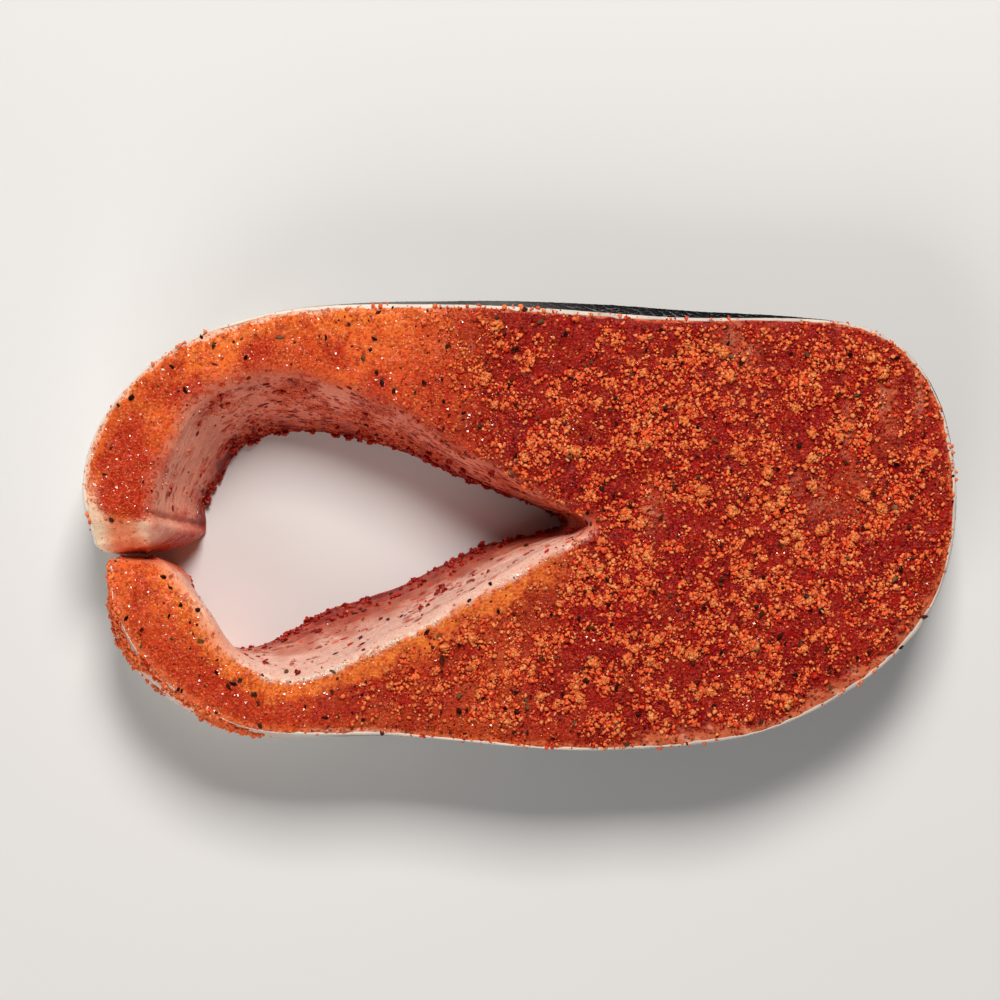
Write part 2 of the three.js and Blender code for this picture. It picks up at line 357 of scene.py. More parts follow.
def crease_side():
    """Distance from the fold across the upper flap's end, positive towards the end, and a share that
    is 1 along the fold and fades at both its ends."""
    (ax, ay), (bx, by) = CREASE
    long = math.hypot(bx - ax, by - ay)
    ux, uy = (bx - ax) / long, (by - ay) / long
    along = (x - ax) * ux + (y - ay) * uy
    side = (x - ax) * uy - (y - ay) * ux + 0.012 * (along - long / 2) ** 2
    return side, smooth(-2.0, 1.0, along) * smooth(long + 2.0, long - 1.0, along) * smooth(0.0, 6.0, z)


def flesh_relief():
    """Height of the sawn flesh over its smooth form: three sizes of random lumps, a low ring where the
    backbone ends, the fold at the upper flap's end with its nub, and fine folds along the cavity wall."""
    lumps = 0.32 * noise(smooth_flesh, 7.0, 11) + 0.24 * noise(smooth_flesh, 2.6, 12)
    lumps = lumps + 0.18 * noise(smooth_flesh, 1.5, 13)
    ring = np.hypot(x - BACKBONE[0], y - BACKBONE[1]) / BACKBONE_R
    bone = 0.45 * np.exp(-((ring - 0.95) / 0.28) ** 2) - 0.3 * np.exp(-((ring / 0.55) ** 2))
    side, share = crease_side()
    fold = share * (0.9 * np.exp(-(((side - 2.0) / 1.4) ** 2)) - 1.0 * np.exp(-((side / 0.7) ** 2)))
    nub = 1.6 * ellipse(NUB, 2.2) * smooth(14.0, 4.0, z)
    folds = 0.2 * np.sin(z * 1.9 + 2.4 * noise(smooth_flesh, 9.0, 14)) * (0.4 + 0.6 * lower)
    wall = folds + 0.4 * noise(smooth_flesh, 8.0, 15) + 0.12 * noise(smooth_flesh, 2.4, 16)
    ridge = 0.35 * np.exp(-(((past_edge - 1.6) / 0.8) ** 2)) * lower * smooth(100.0, 80.0, x)
    calm = smooth(-1.0, 6.0, step_index)
    return is_face * calm * (lumps + bone) + is_wall * (wall + nub) + (1.0 - is_base) * (fold + ridge)


flesh_grid = smooth_flesh + flesh_normals * flesh_relief()[..., None]
flesh_grid[..., 2] = np.maximum(flesh_grid[..., 2], 0.0)

RUB_DEEP = linear(146, 6, 9)
RUB_RED = linear(194, 40, 25)
RUB_ORANGE = linear(244, 108, 50)
RUB_AMBER = linear(255, 132, 52)
FLESH_BARE = linear(228, 122, 80)
PEACH = linear(246, 150, 106)
CREAM = linear(255, 222, 188)
STREAK = linear(232, 112, 58)
FAT = linear(255, 206, 176)
MEMBRANE = linear(255, 172, 142)
MEMBRANE_PALE = linear(244, 196, 176)
MEMBRANE_LOW = linear(228, 150, 122)
MEMBRANE_FOOT = linear(160, 46, 32)
STAIN = linear(220, 78, 44)
CLOT = linear(128, 16, 15)
# Near white of the lower rim: pale fat, partly a painted highlight of its wet glints
GLINT = linear(255, 236, 216)
SPOT_DARK = linear(142, 18, 14)
SPOT_LIGHT = linear(226, 88, 50)
SPOT_CELL = 1.15
WET_CELL = 0.75
FLESH_ROUGH = 0.2
BACK_ROUGHER = 0.2

# Centre and radius of single patches, and for worn and red ones their strength
LAST_RUB = ((9.6, 4.5), 5.5)
CREAM_SPOT = ((14.0, -1.2), 2.8)
FIRST_CRUMBS = ((83.0, 27.0), 8.0)
WORN_PATCHES = (((142.0, 38.0), 6.0, 0.7), ((169.5, 37.0), 5.5, 1.0), ((168.0, 21.0), 7.5, 0.8),
                ((161.0, 8.0), 7.0, 0.8), ((120.5, 2.5), 4.0, 1.0), ((176.0, 28.0), 7.0, 0.9))
RED_PATCHES = (((11.0, 11.0), 8.0, 0.9), ((46.0, 33.0), 8.0, 0.6), ((74.0, 28.0), 9.0, 0.8))

# Random blotches in three sizes, the muscle's fibres, and a ragged line for the edge of the back's crumbs
slow = noise(smooth_flesh, 9.0, 23)
quick = noise(smooth_flesh, 3.0, 24)
fine_noise = noise(smooth_flesh, 1.2, 25)
fibres = noise(smooth_flesh * (1.0, 0.3, 1.0), 2.6, 26)
ragged = 9.0 * noise(smooth_flesh, 14.0, 21) + 5.0 * noise(smooth_flesh, 3.0, 22)

# How far a place of the face belongs to the back: 0 on the flaps, 1 behind, sooner on the lower side
backward = smooth(60.0, 94.0, x + ragged + 26.0 * smooth(4.0, -12.0, y))
flap_low = lower * smooth(60.0, 45.0, x)
low_middle = smooth(-8.0, -18.0, y) * smooth(116.0, 84.0, x)

# Where the rub left the face bare: the upper flap's end, round a last patch of rub, and worn patches
end_bare = smooth(15.0, 7.0, run + 2.0 * quick + 15.0 * ellipse(*LAST_RUB))
end_bare = np.maximum(end_bare, smooth(-1.4, -2.8, SKIN_RUN - run + 0.8 * quick))
worn = np.max([share * ellipse(centre, radius) for centre, radius, share in WORN_PATCHES], axis=0)
worn = 0.9 * worn * smooth(-0.3, 0.5, fibres + 0.4 * slow + 0.4 * fine_noise)
bare = np.clip(end_bare + worn, 0.0, 1.0)

# The strip beside the skin that the rub didn't reach, wide at the lower side of the back
low_back = smooth(106.0, 132.0, x) * smooth(-6.0, -26.0, y)
rim_wide = 0.7 + 0.4 * backward * (1.0 + 0.7 * slow) + 3.8 * low_back * (1.0 + 0.7 * slow)
rim_ragged = (0.9 + 1.2 * low_back) * quick + (0.6 + 0.8 * low_back) * fine_noise
rim = 1.0 - smooth(0.3 * rim_wide, rim_wide, from_skin - 0.6 + rim_ragged)
rim = np.maximum(rim * (1.0 - 0.85 * flap_low), smooth(4.5, 1.5, from_skin) * smooth(16.0, 8.0, run))

# Bright band along the lower flap's cavity edge, and the red patches of wet rub on the flaps
band = smooth(-5.2, -1.2, past_edge + 2.8 * quick + 2.2 * fine_noise)
band = band * smooth(112.0, 94.0, x) * lower * smooth(8.0, 20.0, x)
tip_pale = smooth(-2.2, 0.8, past_edge + 0.8 * quick) * smooth(34.0, 18.0, SKIN_RUN - run)
red_patch = smooth(-0.3, 0.8, slow + 0.6 * quick) * (1.0 - 0.85 * band)
red_patch = red_patch * smooth(0.0, 6.0, from_skin + 2.0 * quick)
for centre, radius, share in RED_PATCHES:
    red_patch = red_patch + share * ellipse(centre, radius)
red_low = flap_low * smooth(0.5, 3.0, from_skin) * (1.0 - band) * smooth(2.0, 22.0, SKIN_RUN - run)
red_patch = np.clip(red_patch + 0.9 * red_low, 0.0, 1.0)


def face_tint():
    """Colour of the upper face: crimson under the crumbs of the back, orange with red patches on the
    flaps, amber along the outer and the cavity edge, pale where it is bare and beside the skin."""
    outer = smooth(9.0, 2.0, from_skin + 2.5 * quick) * (1.0 - backward) * (1.0 - flap_low)
    deep = backward * (1.0 - 0.8 * band) * (1.0 - 0.35 * low_middle) * np.clip(0.97 + 0.06 * slow, 0.0, 1.0)
    tint = mix(RUB_ORANGE, RUB_AMBER, np.clip(0.8 * band + 0.8 * outer, 0.0, 1.0))
    tint = mix(mix(tint, RUB_RED, red_patch * 0.9), RUB_DEEP, deep)
    tint = tint * (1.0 + 0.35 * deep * quick)[..., None]
    behind = smooth(40.0, 80.0, x)
    strands = noise(np.stack([run, 0.25 * from_skin, 0.0 * run], axis=-1), 1.1, 27)
    strip = mix(FLESH_BARE, FAT, low_back * 0.45 * smooth(0.1, 0.7, strands + 0.5 * quick))
    strip = mix(FAT, mix(strip, RUB_ORANGE, (1.0 - low_back) * (0.6 + 0.3 * strands)), behind)
    tint = mix(tint, strip * (1.0 + 0.2 * strands)[..., None], 0.8 * rim)
    cream = np.clip(1.2 * ellipse(*CREAM_SPOT) + smooth(7.0, 3.0, x), 0.0, 1.0)
    streaks = mix(STREAK, FAT, 0.35 * smooth(0.0, 0.8, fibres + 0.5 * fine_noise))
    return mix(tint, mix(mix(PEACH, CREAM, cream), streaks, behind), bare * (0.85 + 0.15 * fine_noise))


def wall_tint():
    """Colour of the cavity wall: a pink membrane, paler on the lower flap and redder and darker towards its
    foot, partly rub soaked in there and partly painted shade, tinged orange behind, with clotted rub along
    the foot."""
    foot = smooth(11.0 + 8.0 * lower, 2.0 + 3.0 * lower, z + 3.5 * quick + 2.0 * fine_noise)
    tinge = (1.0 - lower) * smooth(14.0, 44.0, x) * (0.6 + 0.3 * slow)
    blot = 0.6 * smooth(0.1, 0.7, quick + 0.5 * fine_noise + 0.3 * slow) * (1.0 - lower)
    # Painted shade, in part: the lower wall darkens from its pale rim through MEMBRANE_LOW, and both walls
    # towards MEMBRANE_FOOT at the foot.
    pale = mix(MEMBRANE_LOW, MEMBRANE_PALE, smooth(9.0, 19.0, z + 3.0 * quick + 2.0 * slow))
    membrane = mix(mix(MEMBRANE, pale, lower), STAIN, np.clip(tinge + blot, 0.0, 0.9))
    membrane = mix(membrane, MEMBRANE_FOOT, foot * (0.55 + 0.3 * lower))
    return mix(membrane, CLOT, 0.9 * smooth(5.0, 2.0, z + 3.0 * quick + fine_noise))


def flesh_tint():
    """The face's colour turned into the wall's round the cavity edge, slowly on the upper flap and
    sharply on the lower one, with a broken white rim there, pale fat partly painted as a highlight of its
    wet glints, and raw flesh under the slice."""
    start, end = 0.8 * lower - 0.4, 7.0 - 4.4 * lower
    turn = smooth(start, end, past_edge + (1.8 - 0.9 * lower) * (quick + 0.6 * slow + 0.5 * fine_noise))
    tint = mix(face_tint(), wall_tint(), turn)
    # The white rim, partly painted highlight: pale fat along the lower flap's cavity edge, broken by noise
    white = np.exp(-(((past_edge - 1.9 + 0.5 * quick) / 0.75) ** 2))
    white = white * smooth(30.0, 40.0, x) * smooth(88.0, 70.0, x)
    white = white * lower * smooth(-0.7, 0.0, fine_noise + quick)
    lip = mix(PEACH, FAT, 0.4 + 0.4 * slow)
    tint = mix(mix(tint, lip, 0.7 * tip_pale * (1.0 - is_base)), GLINT, white)
    raw = mix(mix(FLESH_BARE, RUB_ORANGE, smooth(-0.6, 0.6, slow)), RUB_RED, 0.4 * smooth(0.0, 0.6, quick))
    raw = mix(raw, PEACH, smooth(3.0, -1.0, np.minimum(run, SKIN_RUN - run)))
    past_end = smooth(2.0, -2.0, np.minimum(run, SKIN_RUN - run)) * (1.0 - is_base)
    return mix(mix(tint, STAIN, 0.75 * past_end * smooth(22.0, 12.0, z)), raw, is_base)


def dry_cover():
    """Share of the face that dry crumbs cover: in patches on the back, thinning out towards the flaps,
    the skin, the lower rim and the bare places."""
    back = smooth(64.0, 98.0, x + 8.0 * noise(smooth_flesh, 16.0, 51) + 12.0 * smooth(-18.0, -30.0, y))
    back = np.maximum(back, 0.9 * ellipse(*FIRST_CRUMBS))
    patch = smooth(-0.45, 0.3, noise(smooth_flesh, 11.0, 52) + 0.7 * noise(smooth_flesh, 4.0, 53) + 0.15)
    edge = (0.25 + 0.75 * smooth(0.8, 7.0, from_skin + 2.0 * quick)) * (1.0 - 0.85 * low_back * rim)
    return back * (0.45 + 0.55 * patch) * edge * (1.0 - bare) * (1.0 - band) * is_face


def wet_cover():
    """Share of the flesh that wet grains cover: thick in the red patches of the flaps and between the
    crumbs of the back, thin on bare places, and a few down the cavity wall."""
    face = (0.62 + 0.35 * np.maximum(red_patch, backward)) * (1.0 - (0.4 + 0.25 * low_back) * rim) * is_face
    groups = smooth(-0.5, 0.4, quick + 0.5 * slow)
    face = face * (1.0 - 0.25 * (1.0 - backward) * (1.0 - lower) * (1.0 - groups))
    face = face * (1.0 - 0.95 * end_bare) * (1.0 - 0.6 * worn)
    face = face * (1.0 - lower * smooth(0.8, 3.2, past_edge + quick)) * (1.0 - 0.8 * tip_pale)
    wall = 0.08 + 0.3 * smooth(18.0, 44.0, x) + 0.3 * smooth(9.0, 1.0, z)
    wall = wall * is_wall * smooth(-0.5, 0.5, slow + quick) * (1.0 - 0.85 * lower) * smooth(4.0, 12.0, run)
    return np.clip(face + wall, 0.0, 1.0)


def spot_cover():
    """Share of the flesh that larger spots of soaked rub cover: in the red patches of the flaps, and drawn
    out along the cavity wall, more behind and towards its foot. None lie on the edge between."""
    face = (0.32 + 0.45 * red_patch) * (1.0 - bare) * (1.0 - 0.6 * backward) * (1.0 - 0.9 * rim)
    face = face * smooth(STARTS["roll"] + 5, STARTS["roll"] + 1, step_index) * (step_index < STARTS["back"])
    wall = 0.2 + 0.6 * smooth(24.0, 46.0, x) + 0.3 * smooth(12.0, 2.0, z)
    wall = wall * smooth(-0.8, 0.3, slow + 0.6 * quick) * (1.0 - 0.5 * lower) * smooth(2.0, 10.0, run)
    wall = wall * smooth(STARTS["roll"] + 7, STARTS["wall"], step_index) * (step_index < STARTS["base"])
    return np.clip(face + wall, 0.0, 1.0) * (1.0 - is_base)


dry = dry_cover()
wet = wet_cover()
spots = spot_cover()

# Darkest and lightest colours of wet grains: on the flaps, in red patches, on the bright band, on the back
# and on the wall
DARK_GRAINS = (linear(182, 40, 20), linear(150, 16, 12), linear(194, 52, 22), linear(76, 1, 3),
               linear(140, 26, 20))
LIGHT_GRAINS = (linear(255, 158, 82), linear(240, 100, 58), linear(255, 160, 72), linear(200, 48, 34),
                linear(226, 96, 58))


def grain_tint(flap, red, bright, back, wall):
    """Colour of the wet grains: that of the flaps turned into each of the others by its own share."""
    on_back = backward * (1.0 - band) * (1.0 - 0.3 * low_middle)
    tint = mix(mix(flap, red, red_patch), bright, band)
    return mix(mix(tint, back, on_back), wall, is_wall)


# Directions for drawn out marks: on the face its own plane, on the wall up and along it, the latter halved
wall_top = smooth_flesh[:, STARTS["wall"]]
wall_steps = np.linalg.norm(np.diff(wall_top, axis=0, prepend=wall_top[:1]), axis=1)
along_wall = np.cumsum(wall_steps)[:, None] / 2.0 + 0.0 * x
on_wall = (step_index >= STARTS["roll"] + 6)[None, :, None]
flow = np.where(on_wall, np.stack([along_wall, z, 0.0 * z], axis=-1), np.stack([x, y, 0.0 * z], axis=-1))


def principled(name):
    """A new material, its node tree and its principled shader."""
    material = bpy.data.materials.new(name)
    material.use_nodes = True
    return material, material.node_tree, material.node_tree.nodes["Principled BSDF"]


def set_inputs(tree, made, given):
    """Sets each input of a node, by name or number, to its value, or links it to its socket."""
    for key, value in given.items():
        if isinstance(value, bpy.types.NodeSocket):
            tree.links.new(value, made.inputs[key])
        else:
            made.inputs[key].default_value = value


def node(tree, kind, given, **settings):
    """The outputs of a new node with these settings and these inputs."""
    made = tree.nodes.new(kind)
    for key, value in settings.items():
        setattr(made, key, value)
    set_inputs(tree, made, given)
    return made.outputs


def math_node(tree, operation, *given):
    """The output of a new math node, its inputs in order."""
    return node(tree, "ShaderNodeMath", dict(enumerate(given)), operation=operation)[0]


def vector_node(tree, operation, given):
    """The output of a new vector math node."""
    return node(tree, "ShaderNodeVectorMath", given, operation=operation)[0]


def colour_mix(tree, share, first, second):
    """The output of a new node that turns the first colour into the second by that share."""
    return node(tree, "ShaderNodeMix", {0: share, 6: first, 7: second}, data_type="RGBA")[2]


def attribute(tree, name):
    """The outputs of a node that reads one of the piece's own attributes."""
    return node(tree, "ShaderNodeAttribute", {}, attribute_name=name)


def new_group(name, takes, gives):
    """A new shader group with these inputs and outputs: its tree and the sockets inside at its two ends."""
    tree = bpy.data.node_groups.new(name, "ShaderNodeTree")
    for in_out, sockets in (("INPUT", takes), ("OUTPUT", gives)):
        for label, kind in sockets.items():
            tree.interface.new_socket(label, in_out=in_out, socket_type=kind)
    return tree, tree.nodes.new("NodeGroupInput").outputs, tree.nodes.new("NodeGroupOutput").inputs


COLOUR, NUMBER, PLACE = "NodeSocketColor", "NodeSocketFloat", "NodeSocketVector"


def moist_grain_group():
    """Moist grain shared by the rub's materials: a colour varied by two sizes of noise, and their sum
    as a height."""
    takes = {"Color": COLOUR, "Spread": NUMBER}
    tree, given, out = new_group("moist_grain", takes, {"Color": COLOUR, "Height": NUMBER})
    place = node(tree, "ShaderNodeTexCoord", {})["Object"]
    coarse = node(tree, "ShaderNodeTexNoise", {"Vector": place, "Scale": 900.0, "Detail": 2.0})["Fac"]
    fine = node(tree, "ShaderNodeTexNoise", {"Vector": place, "Scale": 2600.0, "Detail": 1.0})["Fac"]
    total = math_node(tree, "ADD", coarse, fine)
    centred = math_node(tree, "ADD", total, -1.0)
    gain = math_node(tree, "MULTIPLY_ADD", centred, given["Spread"], 1.0)
    tree.links.new(vector_node(tree, "SCALE", {0: given["Color"], "Scale": gain}), out["Color"])
    tree.links.new(total, out["Height"])
    return tree


def speckle_group():
    """Fine specks: the cells of a cell pattern whose random draw is under the share, as domes with wavy
    outlines, and a second draw for their colour. Places are in mm, the scale in cells a mm."""
    takes = {"Place": PLACE, "Share": NUMBER, "Scale": NUMBER}
    tree, given, out = new_group("speckle", takes, {"Mask": NUMBER, "Draw": NUMBER})
    wave = node(tree, "ShaderNodeTexNoise", {"Vector": given["Place"], "Scale": 1.5, "Detail": 1.0})["Color"]
    centred = vector_node(tree, "SUBTRACT", {0: wave, 1: (0.5, 0.5, 0.5)})
    small = vector_node(tree, "SCALE", {0: centred, "Scale": 0.5})
    moved = vector_node(tree, "ADD", {0: small, 1: given["Place"]})
    cells = node(tree, "ShaderNodeTexVoronoi", {"Vector": moved, "Scale": given["Scale"], "Randomness": 1.0})
    draw = node(tree, "ShaderNodeSeparateColor", {0: cells["Color"]})
    chosen = math_node(tree, "LESS_THAN", draw[0], given["Share"])
    dome = node(tree, "ShaderNodeMapRange", {0: cells["Distance"], 1: 0.72, 2: 0.24, 3: 0.0, 4: 1.0})[0]
    tree.links.new(math_node(tree, "MULTIPLY", dome, chosen), out["Mask"])
    tree.links.new(draw[1], out["Draw"])
    return tree


MOIST_GRAIN = moist_grain_group()
SPECKLE = speckle_group()


def food_material(name, spread, height, roughness, specular, scatter=0.0, depth=1.0):
    """Moist food: the piece's own tint varied by the grain, raised by it, with light scattering inside."""
    material, tree, shader = principled(name)
    tint = attribute(tree, "tint")["Color"]
    grain = node(tree, "ShaderNodeGroup", {"Color": tint, "Spread": spread}, node_tree=MOIST_GRAIN)
    relief = {"Strength": 1.0, "Distance": height * MM, "Height": grain["Height"]}
    set_inputs(tree, shader, {
        "Base Color": grain["Color"],
        "Normal": node(tree, "ShaderNodeBump", relief)[0],
        "Roughness": roughness,
        "Specular IOR Level": specular,
        "Subsurface Weight": scatter,
        "Subsurface Radius": (1.0, 0.35, 0.2),
        "Subsurface Scale": depth * MM,
    })
    return material


def surface_of(material):
    """The tree, shader and bump node of a food material, and the colour and the height that feed them."""
    tree = material.node_tree
    shader = tree.nodes["Principled BSDF"]
    bump = shader.inputs["Normal"].links[0].from_node
    colour = shader.inputs["Base Color"].links[0].from_socket
    return tree, shader, bump, colour, bump.inputs["Height"].links[0].from_socket


def add_specks(material, share_name, cell, dark, light, strength, rise, flow=None):
    """Lays specks over a food material, as close as the named attribute says: they turn its colour into
    one between dark and light, each a colour or a named attribute, by that strength, and raise its bump.
    They lie in Object coordinates, or in the named flow."""
    tree, shader, bump, colour, height = surface_of(material)
    if flow:
        place = attribute(tree, flow)["Vector"]
    else:
        object_place = node(tree, "ShaderNodeTexCoord", {})["Object"]
        place = vector_node(tree, "SCALE", {0: object_place, "Scale": 1.0 / MM})
    layout = {"Place": place, "Share": attribute(tree, share_name)["Fac"], "Scale": 1.0 / cell}
    specks = node(tree, "ShaderNodeGroup", layout, node_tree=SPECKLE)
    ends = [attribute(tree, end)["Color"] if isinstance(end, str) else (*end, 1.0) for end in (dark, light)]
    shade = colour_mix(tree, specks["Draw"], *ends)
    share = math_node(tree, "MULTIPLY", specks["Mask"], strength)
    set_inputs(tree, shader, {"Base Color": colour_mix(tree, share, colour, shade)})
    set_inputs(tree, bump, {"Height": math_node(tree, "MULTIPLY_ADD", specks["Mask"], rise, height)})


def add_lines(material, depth):
    """Draws fine lines along the cavity wall: noise on the piece's flow, its run along the wall cut
    short against its height, darkens the colour a little as painted shade in the grooves and cuts into the
    bump."""
    tree, shader, bump, colour, height = surface_of(material)
    longer = vector_node(tree, "MULTIPLY", {0: attribute(tree, "flow")["Vector"], 1: (0.22, 1.1, 1.0)})
    lines = node(tree, "ShaderNodeTexNoise", {"Vector": longer, "Scale": 1.0, "Detail": 3.0})["Fac"]
    only = math_node(tree, "MULTIPLY", lines, attribute(tree, "wall")["Fac"])
    # Painted shade: the colour drops to 0.9 along the grooves.
    tone = node(tree, "ShaderNodeMapRange", {0: only, 1: 0.0, 2: 0.8, 3: 1.0, 4: 0.9})[0]
    set_inputs(tree, shader, {"Base Color": vector_node(tree, "SCALE", {0: colour, "Scale": tone})})
    set_inputs(tree, bump, {"Height": math_node(tree, "MULTIPLY_ADD", only, -depth, height)})


flesh_material = food_material(
    "salmon_flesh", spread=0.4, height=0.12, roughness=FLESH_ROUGH, specular=0.16, scatter=0.18, depth=1.6)
add_lines(flesh_material, depth=2.5)
add_specks(flesh_material, "spots", SPOT_CELL, SPOT_DARK, SPOT_LIGHT, strength=0.85, rise=1.2, flow="flow")
add_specks(flesh_material, "wet", WET_CELL, "grain_dark", "grain_light", strength=0.85, rise=1.8)
flesh_tree, flesh_shader, *_ = surface_of(flesh_material)
set_inputs(flesh_tree, flesh_shader, {"Roughness": attribute(flesh_tree, "dull")["Fac"]})

flesh_tints = flesh_tint()
flesh_faces = tube_faces(*flesh_grid.shape[:2])
flesh = make_piece("steak_flesh", with_hubs(flesh_grid), flesh_faces, flesh_material)
paint(flesh, "tint", with_hubs(flesh_tints))
paint(flesh, "flow", with_hubs(flow))
paint(flesh, "grain_dark", with_hubs(grain_tint(*DARK_GRAINS)))
paint(flesh, "grain_light", with_hubs(grain_tint(*LIGHT_GRAINS)))
dull = FLESH_ROUGH + BACK_ROUGHER * backward
for name, share in (("wet", wet), ("spots", spots), ("wall", is_wall), ("dull", dull)):
    paint(flesh, name, with_hubs(share[..., None])[:, 0])
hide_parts("salmon_steak")

# Skin
# The fish's own skin, under a millimetre thick and grown onto the flesh round the outside of the slice.
# It is covered in small overlapping scales: white on the belly, silver on the flanks, dark on the back.

SKIN_THICK = 0.55
SKIN_BURIED = 1.9
SKIN_COLUMNS = 860
SKIN_STEPS = 56
EDGE_STEPS = 6
INNER_STEPS = 3
INNER_IN = 0.3
INNER_DOWN = 0.6
EDGE_CROWN = 0.3
EDGE_PROUD = 0.06
SKIN_UNEVEN = 0.06
SKIN_TURN = 64.0
SCALE_WIDE = 2.5
SCALE_TALL = 1.9
SCALE_RISE = 0.2
SCALE_REACH = 1.6
SCALE_NARROW = 0.8
SCALE_BUMP = 0.15

skin_t, _ = equal_steps(SKIN_COLUMNS)


def scale_rise(along, height):
    """Overlapping scales: in staggered rows, each rises evenly to a rounded tip that lies over the root of
    the next row. Gives the height over the lowest root as a share."""
    row = np.floor(height / SCALE_TALL)
    part = height / SCALE_TALL - row
    across = along / SCALE_WIDE + 0.5 * (row % 2)
    side = SCALE_NARROW * (2.0 * (across - np.floor(across)) - 1.0)
    return (part + (side**2 + ((part + 1.0) / SCALE_REACH) ** 2 < 1.0)) / 2.0


def skin_sections():
    """Closed section of the skin at each t: up its outer side, over the cut edge, which stands a little
    proud of the flesh and is wider along the back's upper side, and down inside the flesh."""
    skin, _, _, outward, _ = edges(skin_t)
    wide = smooth(36.0, 56.0, skin[:, 0]) * smooth(176.0, 164.0, skin[:, 0]) * smooth(0.0, 20.0, skin[:, 1])
    wide = wide + 0.3 * smooth(96.0, 112.0, skin[:, 0]) * smooth(24.0, 8.0, skin[:, 1])
    wide = wide - 0.6 * smooth(52.0, 36.0, skin[:, 0]) * smooth(-8.0, -20.0, skin[:, 1])
    uneven = 1.0 + 0.5 * noise(on_base(skin), 9.0, 31) + 0.4 * noise(on_base(skin), 2.0, 37)
    thick = SKIN_THICK * np.maximum(0.12, uneven + wide)
    outer_top = on_face(skin, 0.0)
    inner_top = on_face(skin - outward * thick[:, None], thick)
    crown = (outer_top + inner_top) / 2 + (0.0, 0.0, EDGE_CROWN)
    edge = bend(outer_top, crown, inner_top + (0.0, 0.0, EDGE_PROUD), EDGE_STEPS)
    deep = thick + INNER_IN
    buried = on_face(skin - outward * deep[:, None], deep) - (0.0, 0.0, INNER_DOWN)
    inner = skin_wall(skin_t, SKIN_BURIED, INNER_STEPS)[:, ::-1]
    outer = skin_wall(skin_t, 0.0, SKIN_STEPS)
    return np.concatenate([outer, edge, inner_top[:, None], buried[:, None], inner], axis=1)


smooth_skin = with_tips(skin_sections(), sections, SKIN_TURN)
skin_run = np.pad(np.linspace(0.0, SKIN_RUN, SKIN_COLUMNS), TIP_RINGS, "edge")
skin_run = skin_run[:, None] + 0.0 * smooth_skin[..., 0]
along_skin = skin_run + 0.8 * noise(smooth_skin, 5.0, 32)
up_skin = smooth_skin[..., 2] + 0.7 * noise(smooth_skin, 5.0, 33)
is_outer = (np.arange(smooth_skin.shape[1]) < SKIN_STEPS) + 0.0 * skin_run
is_cut = 1.0 - is_outer
skin_lift = is_outer * SCALE_RISE * (scale_rise(along_skin, up_skin) - 0.5)
skin_lift = skin_lift + SKIN_UNEVEN * noise(smooth_skin, 3.0, 34)
skin_grid = smooth_skin - grid_normals(smooth_skin) * skin_lift[..., None]
skin_grid[..., 2] = np.maximum(skin_grid[..., 2], 0.0)

SKIN_DARK = linear(20, 20, 23)
SKIN_SILVER = linear(128, 126, 122)
SKIN_WHITE = linear(222, 214, 204)
SKIN_EDGE = linear(242, 226, 210)
SKIN_EDGE_GREY = linear(196, 184, 174)
SKIN_STAIN = linear(224, 116, 66)
SCALE_RIM_GLINT = linear(196, 194, 190)


def skin_tints():
    """Skin colour by its distance from the middle of the back, stained by the rub under the lower flap, with
    a pale cut edge, greyer on the back. The second colour is that of the scales' rims: light where the
    skin is dark, a painted highlight for the glints on the scales' wet edges, and darker where it is light."""
    back = 1.0 - np.abs(skin_run / SKIN_RUN - 0.5) * 2.0 + 0.06 * noise(smooth_skin, 10.0, 35)
    darkness = smooth(0.34, 0.62, back)
    side = mix(mix(SKIN_WHITE, SKIN_SILVER, smooth(0.16, 0.4, back)), SKIN_DARK, darkness)
    side = mix(side, side * 1.4, 0.4 * smooth(0.2, 0.8, noise(smooth_skin, 2.4, 36)))
    under_flap = smooth(SKIN_RUN - 62.0, SKIN_RUN - 46.0, skin_run) * smooth(5.0, 22.0, smooth_skin[..., 2])
    streaks = noise(np.stack([skin_run / 7.0, smooth_skin[..., 2], 0.0 * skin_run], axis=-1), 1.3, 39)
    streaks = smooth(0.3, -0.5, streaks + 0.6 * noise(smooth_skin, 2.5, 41))
    side = mix(side, SKIN_STAIN, under_flap * (0.2 + 0.6 * streaks))
    # Painted highlight on dark skin: the rims turn light, standing in for the scales' wet glints; on light
    # skin they darken.
    rims = mix(side * 0.62, SCALE_RIM_GLINT + 0.0 * side, darkness)
    grey = np.clip(0.6 * darkness + 0.5 * noise(smooth_skin, 3.0, 38), 0.0, 1.0)
    return mix(side, mix(SKIN_EDGE, SKIN_EDGE_GREY, grey), is_cut), rims


